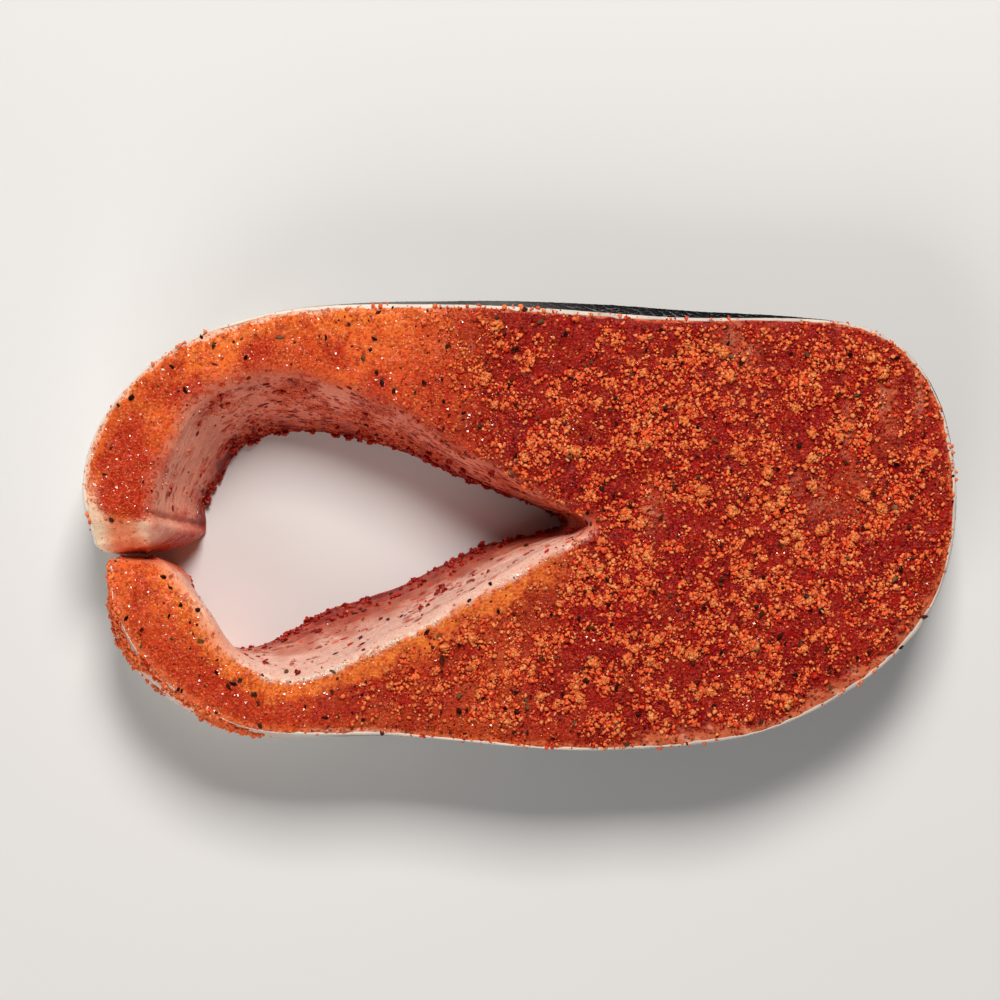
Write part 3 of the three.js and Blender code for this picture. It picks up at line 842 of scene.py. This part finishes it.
def skin_scales(tree):
    """The scales of the relief drawn finely in the piece's own run and height: the rim of each tip, where
    the painted highlight of the scales' wet edges goes on dark skin, bright or faint by a random draw for
    each scale, and the rise."""
    place = node(tree, "ShaderNodeSeparateXYZ", {0: attribute(tree, "scale_place")["Vector"]})
    up = math_node(tree, "DIVIDE", place["Y"], SCALE_TALL)
    row = math_node(tree, "FLOOR", up)
    part = math_node(tree, "FRACT", up)
    across = math_node(tree, "DIVIDE", place["X"], SCALE_WIDE)
    across = math_node(tree, "MULTIPLY_ADD", math_node(tree, "FLOORED_MODULO", row, 2.0), 0.5, across)
    in_scale = math_node(tree, "FRACT", across)
    side = math_node(tree, "MULTIPLY_ADD", in_scale, 2.0 * SCALE_NARROW, -SCALE_NARROW)
    reach = math_node(tree, "MULTIPLY_ADD", part, 1.0 / SCALE_REACH, 1.0 / SCALE_REACH)
    cover = math_node(tree, "MULTIPLY_ADD", side, side, math_node(tree, "MULTIPLY", reach, reach))
    tip = math_node(tree, "LESS_THAN", cover, 1.0)
    edge = node(tree, "ShaderNodeMapRange", {0: cover, 1: 0.62, 2: 0.95}, interpolation_type="SMOOTHSTEP")[0]
    cell = node(tree, "ShaderNodeCombineXYZ", {"X": math_node(tree, "FLOOR", across), "Y": row})[0]
    draw = node(tree, "ShaderNodeTexWhiteNoise", {"Vector": cell})["Value"]
    shown = math_node(tree, "MULTIPLY_ADD", math_node(tree, "POWER", draw, 3.0), 0.8, 0.1)
    rim = math_node(tree, "MULTIPLY", math_node(tree, "MULTIPLY", edge, tip), shown)
    return rim, math_node(tree, "ADD", part, tip)


skin_material, skin_tree, skin_shader = principled("salmon_skin")
scaled = attribute(skin_tree, "scaled")["Fac"]
scale_rim, scale_lift = (math_node(skin_tree, "MULTIPLY", part, scaled) for part in skin_scales(skin_tree))
skin_tint, rim_tint = (attribute(skin_tree, name)["Color"] for name in ("tint", "rim_tint"))
skin_relief = {"Strength": 0.6, "Distance": SCALE_BUMP * MM, "Height": scale_lift}
# The scales' light rims are painted highlights; the skin has no specular reflection of its own.
set_inputs(skin_tree, skin_shader, {
    "Base Color": colour_mix(skin_tree, scale_rim, skin_tint, rim_tint),
    "Normal": node(skin_tree, "ShaderNodeBump", skin_relief)[0],
    "Roughness": 0.5,
    "Specular IOR Level": 0.0,
    "Subsurface Weight": 0.1,
    "Subsurface Radius": (1.0, 0.7, 0.6),
    "Subsurface Scale": 1.0 * MM,
})

skin_faces = [faces[:, ::-1] for faces in tube_faces(*skin_grid.shape[:2])]
skin = make_piece("steak_skin", with_hubs(skin_grid), skin_faces, skin_material)
skin_colours, rim_colours = skin_tints()
paint(skin, "tint", with_hubs(skin_colours))
paint(skin, "rim_tint", with_hubs(rim_colours))
paint(skin, "scale_place", with_hubs(np.stack([along_skin, up_skin, 0.0 * up_skin], axis=-1)))
paint(skin, "scaled", with_hubs(is_outer[..., None])[:, 0])

# Rub grains
# Fine wet granules of the rub, paprika and sugar soaked by the fish, stuck all over the upper face.
# They lie in patches on the flaps, between the dry crumbs of the back, and here and there on the wall.

GRAIN_COUNT = 13000
GRAIN_TRIES = 60000
GRAIN_CELL = 0.42
GRAIN_WIDE = (0.32, 0.85)
GRAIN_TINTS = (linear(240, 104, 46), linear(218, 64, 32), linear(190, 40, 24), linear(255, 156, 84))
GRAIN_SHARES = (0.36, 0.34, 0.16, 0.14)


def scatter(rng, grid, liking, tries, cell, count):
    """Random places on a grid: cells are drawn by area times liking, a place is drawn inside each, and
    one place is kept in each small cube of that size. Gives places, normals and cell numbers."""
    a, b, c, d = grid[:-1, :-1], grid[1:, :-1], grid[:-1, 1:], grid[1:, 1:]
    normal = np.cross(c - a + d - b, b - a + d - c) / 4.0
    area = np.linalg.norm(normal, axis=-1)
    normal = normal / np.maximum(area, 1e-12)[..., None]
    likes = (liking[:-1, :-1] + liking[1:, :-1] + liking[:-1, 1:] + liking[1:, 1:]) / 4.0
    weight = np.cumsum((area * np.maximum(likes, 0.0)).ravel())
    pick = np.minimum(np.searchsorted(weight, rng.random(tries) * weight[-1]), len(weight) - 1)
    i, j = np.unravel_index(pick, area.shape)
    s, r = rng.random((2, tries, 1))
    place = (a[i, j] * (1 - s) + b[i, j] * s) * (1 - r) + (c[i, j] * (1 - s) + d[i, j] * s) * r
    _, first = np.unique(np.floor(place / cell).astype(int), axis=0, return_index=True)
    kept = np.sort(first)[:count]
    return place[kept], normal[i, j][kept], (i[kept], j[kept])


def strew(rng, part, liking, tries, cell, count):
    """Random places on that part of the flesh, as scatter gives them."""
    return scatter(rng, flesh_grid[part], liking[part], tries, cell, count)


def eight_faced():
    """Points and faces of a ball of eight triangles: a ring of four points and a pole below and above it."""
    points = np.array([(0, 1, 0), (1, 0, 0), (0, -1, 0), (0, 0, -1), (0, 0, 1), (-1, 0, 0)], dtype=float)
    below, above = np.full(4, 3), np.full(4, 4)
    ring, ahead = np.array((0, 1, 2, 5)), np.array((1, 2, 5, 0))
    faces = [np.stack(corners, axis=-1) for corners in ((below, ring, ahead), (ring, above, ahead))]
    return points, np.concatenate(faces)


def twenty_faced():
    """Points and faces of a ball of twenty triangles: a pole, a ring of five at one over the root of five
    below the middle, another as far above it and turned by half a step, and a pole."""
    step = np.arange(5)
    height = 1.0 / math.sqrt(5.0)
    angle = np.radians(-36.0 - 72.0 * np.concatenate([step, step + 0.5]))
    level = np.repeat((-height, height), 5)
    rings = np.stack([2.0 * height * np.cos(angle), 2.0 * height * np.sin(angle), level], axis=-1)
    points = np.concatenate([[(0.0, 0.0, -1.0)], rings, [(0.0, 0.0, 1.0)]])
    a, b = 1 + step, 1 + (step + 1) % 5
    c, d = a + 5, b + 5
    corners = ((0 * a, a, b), (b, a, c), (b, c, d), (d, c, 11 + 0 * c))
    return points, np.concatenate([np.stack(corner, axis=-1) for corner in corners])


def turns(rng, count):
    """Random turning matrices, from random unit quaternions."""
    q = rng.standard_normal((count, 4))
    w, i, j, k = (q / np.linalg.norm(q, axis=1)[:, None]).T
    rows = [1 - 2 * (j * j + k * k), 2 * (i * j - w * k), 2 * (i * k + w * j),
            2 * (i * j + w * k), 1 - 2 * (i * i + k * k), 2 * (j * k - w * i),
            2 * (i * k - w * j), 2 * (j * k + w * i), 1 - 2 * (i * i + j * j)]
    return np.stack(rows, axis=-1).reshape(count, 3, 3)


def sides(rng, normals):
    """Two unit directions along the face at each place, turned at random."""
    side = np.cross(normals, rng.standard_normal(normals.shape))
    side /= np.linalg.norm(side, axis=1)[:, None]
    return side, np.cross(normals, side)


def lumps(rng, places, normals, wide, ball, tall, rough, sink, long=1.3, ways=None):
    """One lump at each place: a ball with every corner moved in or out at random, turned at random,
    stretched to its width and height along the face, at random or by the given ways, and set into it
    by a share of its height. Gives points, faces and how near each point is to the lump's foot."""
    points, faces = ball
    count, corners = len(places), len(points)
    radius = 1.0 + rough * rng.uniform(-1.0, 1.0, (count, corners, 1))
    body = np.einsum("nij,nkj->nki", turns(rng, count), points[None] * radius)
    side, other = sides(rng, normals) if ways is None else (ways, np.cross(normals, ways))
    half = wide[:, None] / 2.0
    stretch = rng.uniform(1.0, long, (count, 1))
    along, over = body[..., 0] * half * stretch, body[..., 1] * half / stretch
    up = (body[..., 2] + 1.0 - 2.0 * sink) * half * tall
    shape = places[:, None] + side[:, None] * along[..., None] + other[:, None] * over[..., None]
    shape = shape + normals[:, None] * up[..., None]
    shape[..., 2] = np.maximum(shape[..., 2], 0.0)
    numbers = faces[None] + corners * np.arange(count)[:, None, None]
    return shape.reshape(-1, 3), numbers.reshape(-1, 3), smooth(0.2, -0.9, body[..., 2]).ravel()


def sizes(rng, count, span):
    """Widths between two limits, many small and few large."""
    return span[0] + (span[1] - span[0]) * rng.random(count) ** 2.0


def per_point(values, foot):
    """One value for each lump, given again for each of the lump's points."""
    return np.repeat(values, len(foot) // len(values), axis=0)


def pick_tints(rng, foot, count, colours, shares, spread=0.15):
    """One of the colours for each lump, by shares, a little lighter or darker at each corner, and turned
    into the wet rub's deep crimson towards its foot: partly the rub soaking in, partly painted shade where
    the lump meets what it lies on."""
    chosen = np.array(colours)[rng.choice(len(colours), count, p=shares)]
    tone = rng.uniform(1.0 - spread, 1.0 + spread, (count, len(foot) // count, 1))
    tone = tone * rng.uniform(0.78, 1.12, (count, 1, 1))
    # Painted shade, in part: each point turns towards RUB_DEEP by its nearness to the lump's foot.
    return mix(np.clip(chosen[:, None] * tone, 0.0, 1.0).reshape(-1, 3), RUB_DEEP, 0.95 * foot)


SMALL_BALL = eight_faced()
ROUND_BALL = twenty_faced()

# The flesh's upper face alone, and with the cavity wall
UPPER = np.s_[:, : STARTS["wall"] + 2]
WALLED = np.s_[:, : STARTS["foot"] + 3]

glint_groups = smooth(0.25, 0.6, noise(smooth_flesh, 5.0, 56))
ragged_rim = np.exp(-(((past_edge - 1.7) / 0.8) ** 2)) * lower
ragged_rim = ragged_rim * smooth(30.0, 40.0, x) * smooth(112.0, 90.0, x)
grain_likes = wet * (1.0 - backward * (1.0 - 0.6 * glint_groups))
grain_likes = grain_likes + 0.9 * ragged_rim * smooth(-0.4, 0.4, quick + fine_noise)

grain_rng = np.random.default_rng(501)
grain_at, grain_up, grain_cell = strew(grain_rng, WALLED, grain_likes, GRAIN_TRIES, GRAIN_CELL, GRAIN_COUNT)
grain_wide = sizes(grain_rng, len(grain_at), GRAIN_WIDE)
grain_points, grain_faces, grain_foot = lumps(
    grain_rng, grain_at, grain_up, grain_wide, SMALL_BALL, tall=0.65, rough=0.25, sink=0.35)
grain_material = food_material("wet_rub", spread=0.2, height=0.01, roughness=0.14, specular=0.6)
grains = make_piece("rub_grains", grain_points, (grain_faces,), grain_material, rounded=False)
grain_tints = pick_tints(grain_rng, 0.0 * grain_foot, len(grain_at), GRAIN_TINTS, GRAIN_SHARES)
grain_local = per_point(flesh_tints[WALLED][grain_cell], grain_foot)
grain_tints = mix(grain_tints, grain_local, np.full(len(grain_tints), 0.5))
# Grains on the lower flap's cavity rim turn near white: pale fat, partly a painted highlight of wet glints.
on_rim = per_point(ragged_rim[WALLED][grain_cell], grain_foot)
paint(grains, "tint", mix(grain_tints, GLINT, 0.85 * on_rim))

# Fine crumbs
# Crumbs of the rub that the fish hasn't soaked, toasted orange and matt, in a close layer on the back.
# They lie loose in the wet layer, about half a millimetre across, and some hang over the skin's edge.

FINE_COUNT = 9000
FINE_TRIES = 80000
FINE_CELL = 0.45
FINE_WIDE = (0.45, 1.05)
FINE_EDGE_COUNT = 950
FINE_EDGE_TRIES = 9000
FINE_EDGE_WIDE = (0.4, 1.2)
CRUMB_TINTS = (linear(255, 124, 66), linear(246, 94, 52), linear(255, 152, 92), linear(206, 46, 30))
FINE_SHARES = (0.36, 0.24, 0.24, 0.16)
EDGE_ROWS = 28
crumb_material = food_material("dry_crumb", spread=0.5, height=0.05, roughness=0.5, specular=0.12)

# The upper part of the skin with its cut edge, and the crumbs there: a few all round, and many outside
# the lower flap
EDGED = np.s_[:, SKIN_STEPS - EDGE_ROWS : SKIN_STEPS + EDGE_STEPS + 1]
edge_grid = skin_grid[EDGED]
edge_low_flap = smooth(SKIN_RUN - 60.0, SKIN_RUN - 44.0, skin_run[EDGED])
edge_low_flap = edge_low_flap * smooth(11.0, 26.0, edge_grid[..., 2]) ** 1.5
edge_groups = smooth(-0.1, 0.5, noise(edge_grid, 5.0, 62) + 0.5 * edge_low_flap)
edge_likes = np.maximum(0.09 * is_cut[EDGED], edge_low_flap) * edge_groups

# Crumbs gather in heaps with bare wet gaps between them
gathered = noise(smooth_flesh, 2.8, 54) + 0.5 * noise(smooth_flesh, 1.2, 55)
heaps = dry * (0.07 + 0.93 * smooth(-0.22, 0.22, gathered))

fine_rng = np.random.default_rng(502)
face_at, face_up, _ = strew(fine_rng, UPPER, heaps, FINE_TRIES, FINE_CELL, FINE_COUNT)
rim_at, rim_up, _ = scatter(fine_rng, edge_grid, edge_likes, FINE_EDGE_TRIES, FINE_CELL, FINE_EDGE_COUNT)
fine_at = np.concatenate([face_at, rim_at])
fine_up = np.concatenate([face_up, rim_up])
fine_wide = sizes(fine_rng, len(face_at), FINE_WIDE)
fine_wide = np.concatenate([fine_wide, sizes(fine_rng, len(rim_at), FINE_EDGE_WIDE)])
fine_points, fine_faces, fine_foot = lumps(
    fine_rng, fine_at, fine_up, fine_wide, ROUND_BALL, tall=0.95, rough=0.5, sink=0.2)
fine = make_piece("fine_crumbs", fine_points, (fine_faces,), crumb_material)
fine_tints = pick_tints(fine_rng, fine_foot, len(fine_at), CRUMB_TINTS, FINE_SHARES)
# Painted light: the crumbs on the skin, whose side is in shade, are turned halfway to the main orange so
# they look lit.
on_edge = per_point(np.arange(len(fine_at)) >= len(face_at), fine_foot)
paint(fine, "tint", mix(fine_tints, CRUMB_TINTS[0], 0.5 * on_edge))

# Crumb dust
# The finest of the dry rub, ground paprika and crushed crumb, sifted down between the crumbs of the back.
# The wet layer holds it, and it is redder than the crumbs because it soaks sooner.

DUST_COUNT = 20000
DUST_TRIES = 90000
DUST_CELL = 0.36
DUST_WIDE = (0.32, 0.6)
DUST_TINTS = (linear(214, 66, 42), linear(170, 26, 20), linear(120, 6, 8), linear(255, 130, 76))
DUST_SHARES = (0.34, 0.26, 0.2, 0.2)

dust_rng = np.random.default_rng(507)
dust_at, dust_up, _ = strew(dust_rng, UPPER, heaps + 0.15 * dry, DUST_TRIES, DUST_CELL, DUST_COUNT)
dust_wide = sizes(dust_rng, len(dust_at), DUST_WIDE)
dust_points, dust_faces, dust_foot = lumps(
    dust_rng, dust_at, dust_up, dust_wide, SMALL_BALL, tall=0.9, rough=0.3, sink=0.25)
dust = make_piece("crumb_dust", dust_points, (dust_faces,), crumb_material, rounded=False)
paint(dust, "tint", pick_tints(dust_rng, dust_foot, len(dust_at), DUST_TINTS, DUST_SHARES))

# Coarse crumbs
# The same dry crumbs stuck together by tens, one to two millimetres across, on top of the fine ones.
# Damp sugar holds each one together, and its foot and lower members turn deep crimson: partly soaked red
# in the wet layer, partly painted shade.

COARSE_COUNT = 920
COARSE_TRIES = 8000
COARSE_CELL = 1.5
COARSE_WIDE = (1.0, 2.3)
COARSE_EDGE_COUNT = 50
COARSE_EDGE_TRIES = 1000
COARSE_MEMBERS = 10
COARSE_MEMBER_WIDE = 0.38
COARSE_SHARES = (0.5, 0.24, 0.2, 0.06)


def cluster(rng, places, normals, wide, members, share):
    """Members of a cluster at each place: random points inside a half ball of its width, lying on the
    face, each as wide as that share of the cluster. Gives their places, normals, widths and lowness."""
    side, other = sides(rng, normals)
    out = rng.standard_normal((len(places), members, 3))
    out *= rng.random((len(places), members, 1)) ** 0.4 / np.linalg.norm(out, axis=-1, keepdims=True)
    out *= wide[:, None, None] * (1.0 - share) / 2.0
    at = places[:, None] + side[:, None] * out[..., :1] + other[:, None] * out[..., 1:2]
    at = at + normals[:, None] * np.abs(out[..., 2:]) * 0.9
    member_wide = np.repeat(wide, members) * share * rng.uniform(0.7, 1.3, len(places) * members)
    lowness = 1.0 - np.abs(out[..., 2]) / (wide[:, None] * (1.0 - share) / 2.0)
    return at.reshape(-1, 3), np.repeat(normals, members, axis=0), member_wide, lowness.ravel()


def soaked_shaded_foot(foot, lowness):
    """Nearness to the foot of each point: that of its lump, with part of the lowness of the lump added,
    so that a cluster's lower members take more of the painted shade.
    """
    return np.clip(foot + 0.6 * per_point(lowness, foot) ** 2, 0.0, 1.0)


coarse_rng = np.random.default_rng(504)
face_at, face_up, _ = strew(coarse_rng, UPPER, heaps**1.5, COARSE_TRIES, COARSE_CELL, COARSE_COUNT)
rim_at, rim_up, _ = scatter(
    coarse_rng, edge_grid, edge_likes * edge_low_flap, COARSE_EDGE_TRIES, COARSE_CELL, COARSE_EDGE_COUNT)
coarse_at = np.concatenate([face_at, rim_at])
coarse_up = np.concatenate([face_up, rim_up])
coarse_wide = sizes(coarse_rng, len(coarse_at), COARSE_WIDE)
*coarse_set, coarse_low = cluster(
    coarse_rng, coarse_at, coarse_up, coarse_wide, COARSE_MEMBERS, COARSE_MEMBER_WIDE)
coarse_points, coarse_faces, coarse_foot = lumps(
    coarse_rng, *coarse_set, ROUND_BALL, tall=0.95, rough=0.5, sink=0.3)
coarse = make_piece("coarse_crumbs", coarse_points, (coarse_faces,), crumb_material)
coarse_foot = soaked_shaded_foot(coarse_foot, coarse_low)
paint(coarse, "tint", pick_tints(coarse_rng, coarse_foot, len(coarse_low), CRUMB_TINTS, COARSE_SHARES))

# Crumb clumps
# Dry crumbs stuck into loose, popcorn-like clumps two to three millimetres across, the highest of the rub.
# They lie on the thickest heaps of the back, paler than the rest because they stay dry.

CLUMP_COUNT = 130
CLUMP_TRIES = 3000
CLUMP_CELL = 3.6
CLUMP_WIDE = (2.0, 3.5)
CLUMP_MEMBERS = 45
CLUMP_MEMBER_WIDE = 0.24
CLUMP_TINTS = (linear(255, 136, 72), linear(255, 162, 96), linear(246, 104, 56))
CLUMP_SHARES = (0.45, 0.35, 0.2)

clump_rng = np.random.default_rng(505)
clump_at, clump_up, _ = strew(clump_rng, UPPER, heaps**2.0, CLUMP_TRIES, CLUMP_CELL, CLUMP_COUNT)
clump_wide = sizes(clump_rng, len(clump_at), CLUMP_WIDE)
*clump_set, clump_low = cluster(clump_rng, clump_at, clump_up, clump_wide, CLUMP_MEMBERS, CLUMP_MEMBER_WIDE)
clump_points, clump_faces, clump_foot = lumps(
    clump_rng, *clump_set, ROUND_BALL, tall=0.95, rough=0.5, sink=0.3)
clumps = make_piece("crumb_clumps", clump_points, (clump_faces,), crumb_material)
clump_foot = soaked_shaded_foot(clump_foot, clump_low)
paint(clumps, "tint", pick_tints(clump_rng, clump_foot, len(clump_low), CLUMP_TINTS, CLUMP_SHARES))

# Red crumbs
# Crumbs that the fish has soaked through: small wet clusters that ran down the cavity wall to its foot,
# and thin flat ones that cling to the wall, drawn out along it.

RED_COUNT = 330
RED_TRIES = 3000
RED_CELL = 1.8
RED_WIDE = (0.8, 2.9)
RED_MEMBERS = 10
RED_MEMBER_WIDE = 0.34
RED_TINTS = (linear(164, 30, 22), linear(200, 60, 38), linear(120, 14, 12))
RED_SHARES = (0.5, 0.3, 0.2)
FLAT_COUNT = 1000
FLAT_TRIES = 7000
FLAT_CELL = 0.9
FLAT_WIDE = (0.35, 1.6)
FLAT_TINTS = (linear(190, 54, 32), linear(140, 22, 16), linear(222, 96, 56), linear(98, 14, 8))
FLAT_SHARES = (0.35, 0.35, 0.15, 0.15)
red_material = food_material("soaked_crumb", spread=0.4, height=0.05, roughness=0.32, specular=0.2)

red_foot = smooth(7.0 + 3.0 * lower, 1.0, z) * smooth(-0.5, 0.4, quick + slow)
red_likes = is_wall * (red_foot + 0.06 * smooth(0.1, 0.6, slow + quick)) * smooth(112.0, 95.0, x)
red_likes = red_likes * (1.0 - end_bare) * (1.0 - 0.9 * tip_pale)
flat_likes = 0.2 + 0.8 * smooth(26.0, 40.0, x) + 0.5 * smooth(12.0, 3.0, z)
flat_likes = flat_likes * is_wall * (1.0 - 0.85 * lower) * smooth(3.0, 9.0, run) * smooth(112.0, 100.0, x)

red_rng = np.random.default_rng(506)
red_at, red_up, _ = strew(red_rng, WALLED, red_likes, RED_TRIES, RED_CELL, RED_COUNT)
red_wide = sizes(red_rng, len(red_at), RED_WIDE)
*red_set, red_low = cluster(red_rng, red_at, red_up, red_wide, RED_MEMBERS, RED_MEMBER_WIDE)
red_points, red_faces, red_sunk = lumps(red_rng, *red_set, ROUND_BALL, tall=0.8, rough=0.3, sink=0.35)
flat_at, flat_up, _ = strew(red_rng, WALLED, flat_likes, FLAT_TRIES, FLAT_CELL, FLAT_COUNT)
flat_wide = sizes(red_rng, len(flat_at), FLAT_WIDE)
flat_ways = np.cross(flat_up, (0.0, 0.0, 1.0))
flat_ways /= np.linalg.norm(flat_ways, axis=1)[:, None]
flat_points, flat_faces, flat_sunk = lumps(
    red_rng, flat_at, flat_up, flat_wide, ROUND_BALL, tall=0.2, rough=0.35, sink=0.4, long=1.7,
    ways=flat_ways)
both_points = np.concatenate([red_points, flat_points])
both_faces = np.concatenate([red_faces, flat_faces + len(red_points)])
reds = make_piece("red_crumbs", both_points, (both_faces,), red_material, rounded=False)
red_tints = pick_tints(red_rng, red_sunk, len(red_low), RED_TINTS, RED_SHARES)
flat_tints = pick_tints(red_rng, 0.0 * flat_sunk, len(flat_at), FLAT_TINTS, FLAT_SHARES)
paint(reds, "tint", np.concatenate([red_tints, flat_tints]))

# Pepper
# Cracked black pepper, thin dark chips with olive brown insides, pressed flat into the rub.
# They lie all over the upper face, closer on the flaps, and a few have fallen onto the cavity wall.

PEPPER_COUNT = 620
PEPPER_TRIES = 6000
PEPPER_CELL = 1.4
PEPPER_WIDE = (0.4, 1.35)
PEPPER_LIFT = 0.5
PEPPER_TINTS = (linear(46, 18, 12), linear(74, 36, 20), linear(104, 72, 44), linear(28, 10, 8))
PEPPER_SHARES = (0.34, 0.28, 0.16, 0.22)
PEPPER_SPREAD = 0.6
pepper_material = food_material("cracked_pepper", spread=0.9, height=0.08, roughness=0.4, specular=0.12)

pepper_likes = (1.0 - 0.2 * smooth(50.0, 110.0, x)) * (is_face + 0.14 * is_wall)
pepper_likes = pepper_likes * (1.0 - 0.9 * end_bare) * (1.0 - 0.9 * tip_pale)

pepper_rng = np.random.default_rng(503)
pepper_at, pepper_up, pepper_cell = strew(
    pepper_rng, WALLED, pepper_likes, PEPPER_TRIES, PEPPER_CELL, PEPPER_COUNT)
pepper_at = pepper_at + pepper_up * (PEPPER_LIFT * dry[WALLED][pepper_cell])[:, None]
pepper_wide = sizes(pepper_rng, len(pepper_at), PEPPER_WIDE)
pepper_points, pepper_faces, pepper_foot = lumps(
    pepper_rng, pepper_at, pepper_up, pepper_wide, ROUND_BALL, tall=0.45, rough=0.45, sink=0.25, long=1.5)
pepper = make_piece("pepper_flakes", pepper_points, (pepper_faces,), pepper_material, rounded=False)
pepper_tints = pick_tints(
    pepper_rng, 0.4 * pepper_foot, len(pepper_at), PEPPER_TINTS, PEPPER_SHARES, PEPPER_SPREAD)
paint(pepper, "tint", pepper_tints)

# Studio
# A plain pale floor, one soft light from the far side and a weaker, larger one from the near side.
# The camera looks straight down.

PHOTO_PER_MM = 4.66
CAMERA_HEIGHT = 650.0
CAMERA_AT = (-4.45, 5.35)
PICTURE_WIDE = 1000.0
SENSOR_WIDE = 36.0
FLOOR_HALF = 3.0
LIGHT_AIM = (0.0, 0.0, 0.02)

floor_mesh = bpy.data.meshes.new("floor")
floor_corners = [(FLOOR_HALF * u, FLOOR_HALF * v, 0.0) for u, v in ((-1, -1), (1, -1), (1, 1), (-1, 1))]
floor_mesh.from_pydata(floor_corners, [], [(0, 1, 2, 3)])
floor = bpy.data.objects.new("floor", floor_mesh)
bpy.context.scene.collection.objects.link(floor)
floor_material, floor_tree, floor_shader = principled("pale_floor")
set_inputs(floor_tree, floor_shader, {"Base Color": (0.80, 0.79, 0.78, 1.0), "Roughness": 0.7})
floor_mesh.materials.append(floor_material)


def soft_light(name, at, size, power, colour, mirrored=True):
    """A square area light at that place, turned to the middle of the steak, seen in reflections or not."""
    lamp = bpy.data.lights.new(name, "AREA")
    lamp.size = size
    lamp.energy = power
    lamp.color = colour
    holder = bpy.data.objects.new(name, lamp)
    holder.location = at
    holder.visible_glossy = mirrored
    away = np.array(at) - LIGHT_AIM
    flat = math.hypot(away[0], away[1])
    holder.rotation_euler = (math.atan2(flat, away[2]), 0.0, math.atan2(away[0], -away[1]))
    bpy.context.scene.collection.objects.link(holder)


soft_light("key", (0.1, 0.8, 0.95), size=0.44, power=15.4, colour=(1.0, 0.97, 0.94))
soft_light("fill", (-0.45, -0.85, 0.6), size=0.8, power=6.6, colour=(1.0, 0.98, 0.96), mirrored=False)

world = bpy.data.worlds.new("studio")
world.use_nodes = True
background = world.node_tree.nodes["Background"]
set_inputs(world.node_tree, background, {"Color": (1.0, 1.0, 1.0, 1.0), "Strength": 0.04})
bpy.context.scene.world = world

camera_data = bpy.data.cameras.new("camera")
camera_data.sensor_width = SENSOR_WIDE
camera_data.lens = SENSOR_WIDE * CAMERA_HEIGHT * PHOTO_PER_MM / PICTURE_WIDE
camera_data.clip_start = 0.01
camera = bpy.data.objects.new("camera", camera_data)
camera.location = (CAMERA_AT[0] * MM, CAMERA_AT[1] * MM, (THICKNESS + CAMERA_HEIGHT) * MM)
bpy.context.scene.collection.objects.link(camera)
bpy.context.scene.camera = camera
bpy.context.scene.view_settings.view_transform = "Standard"
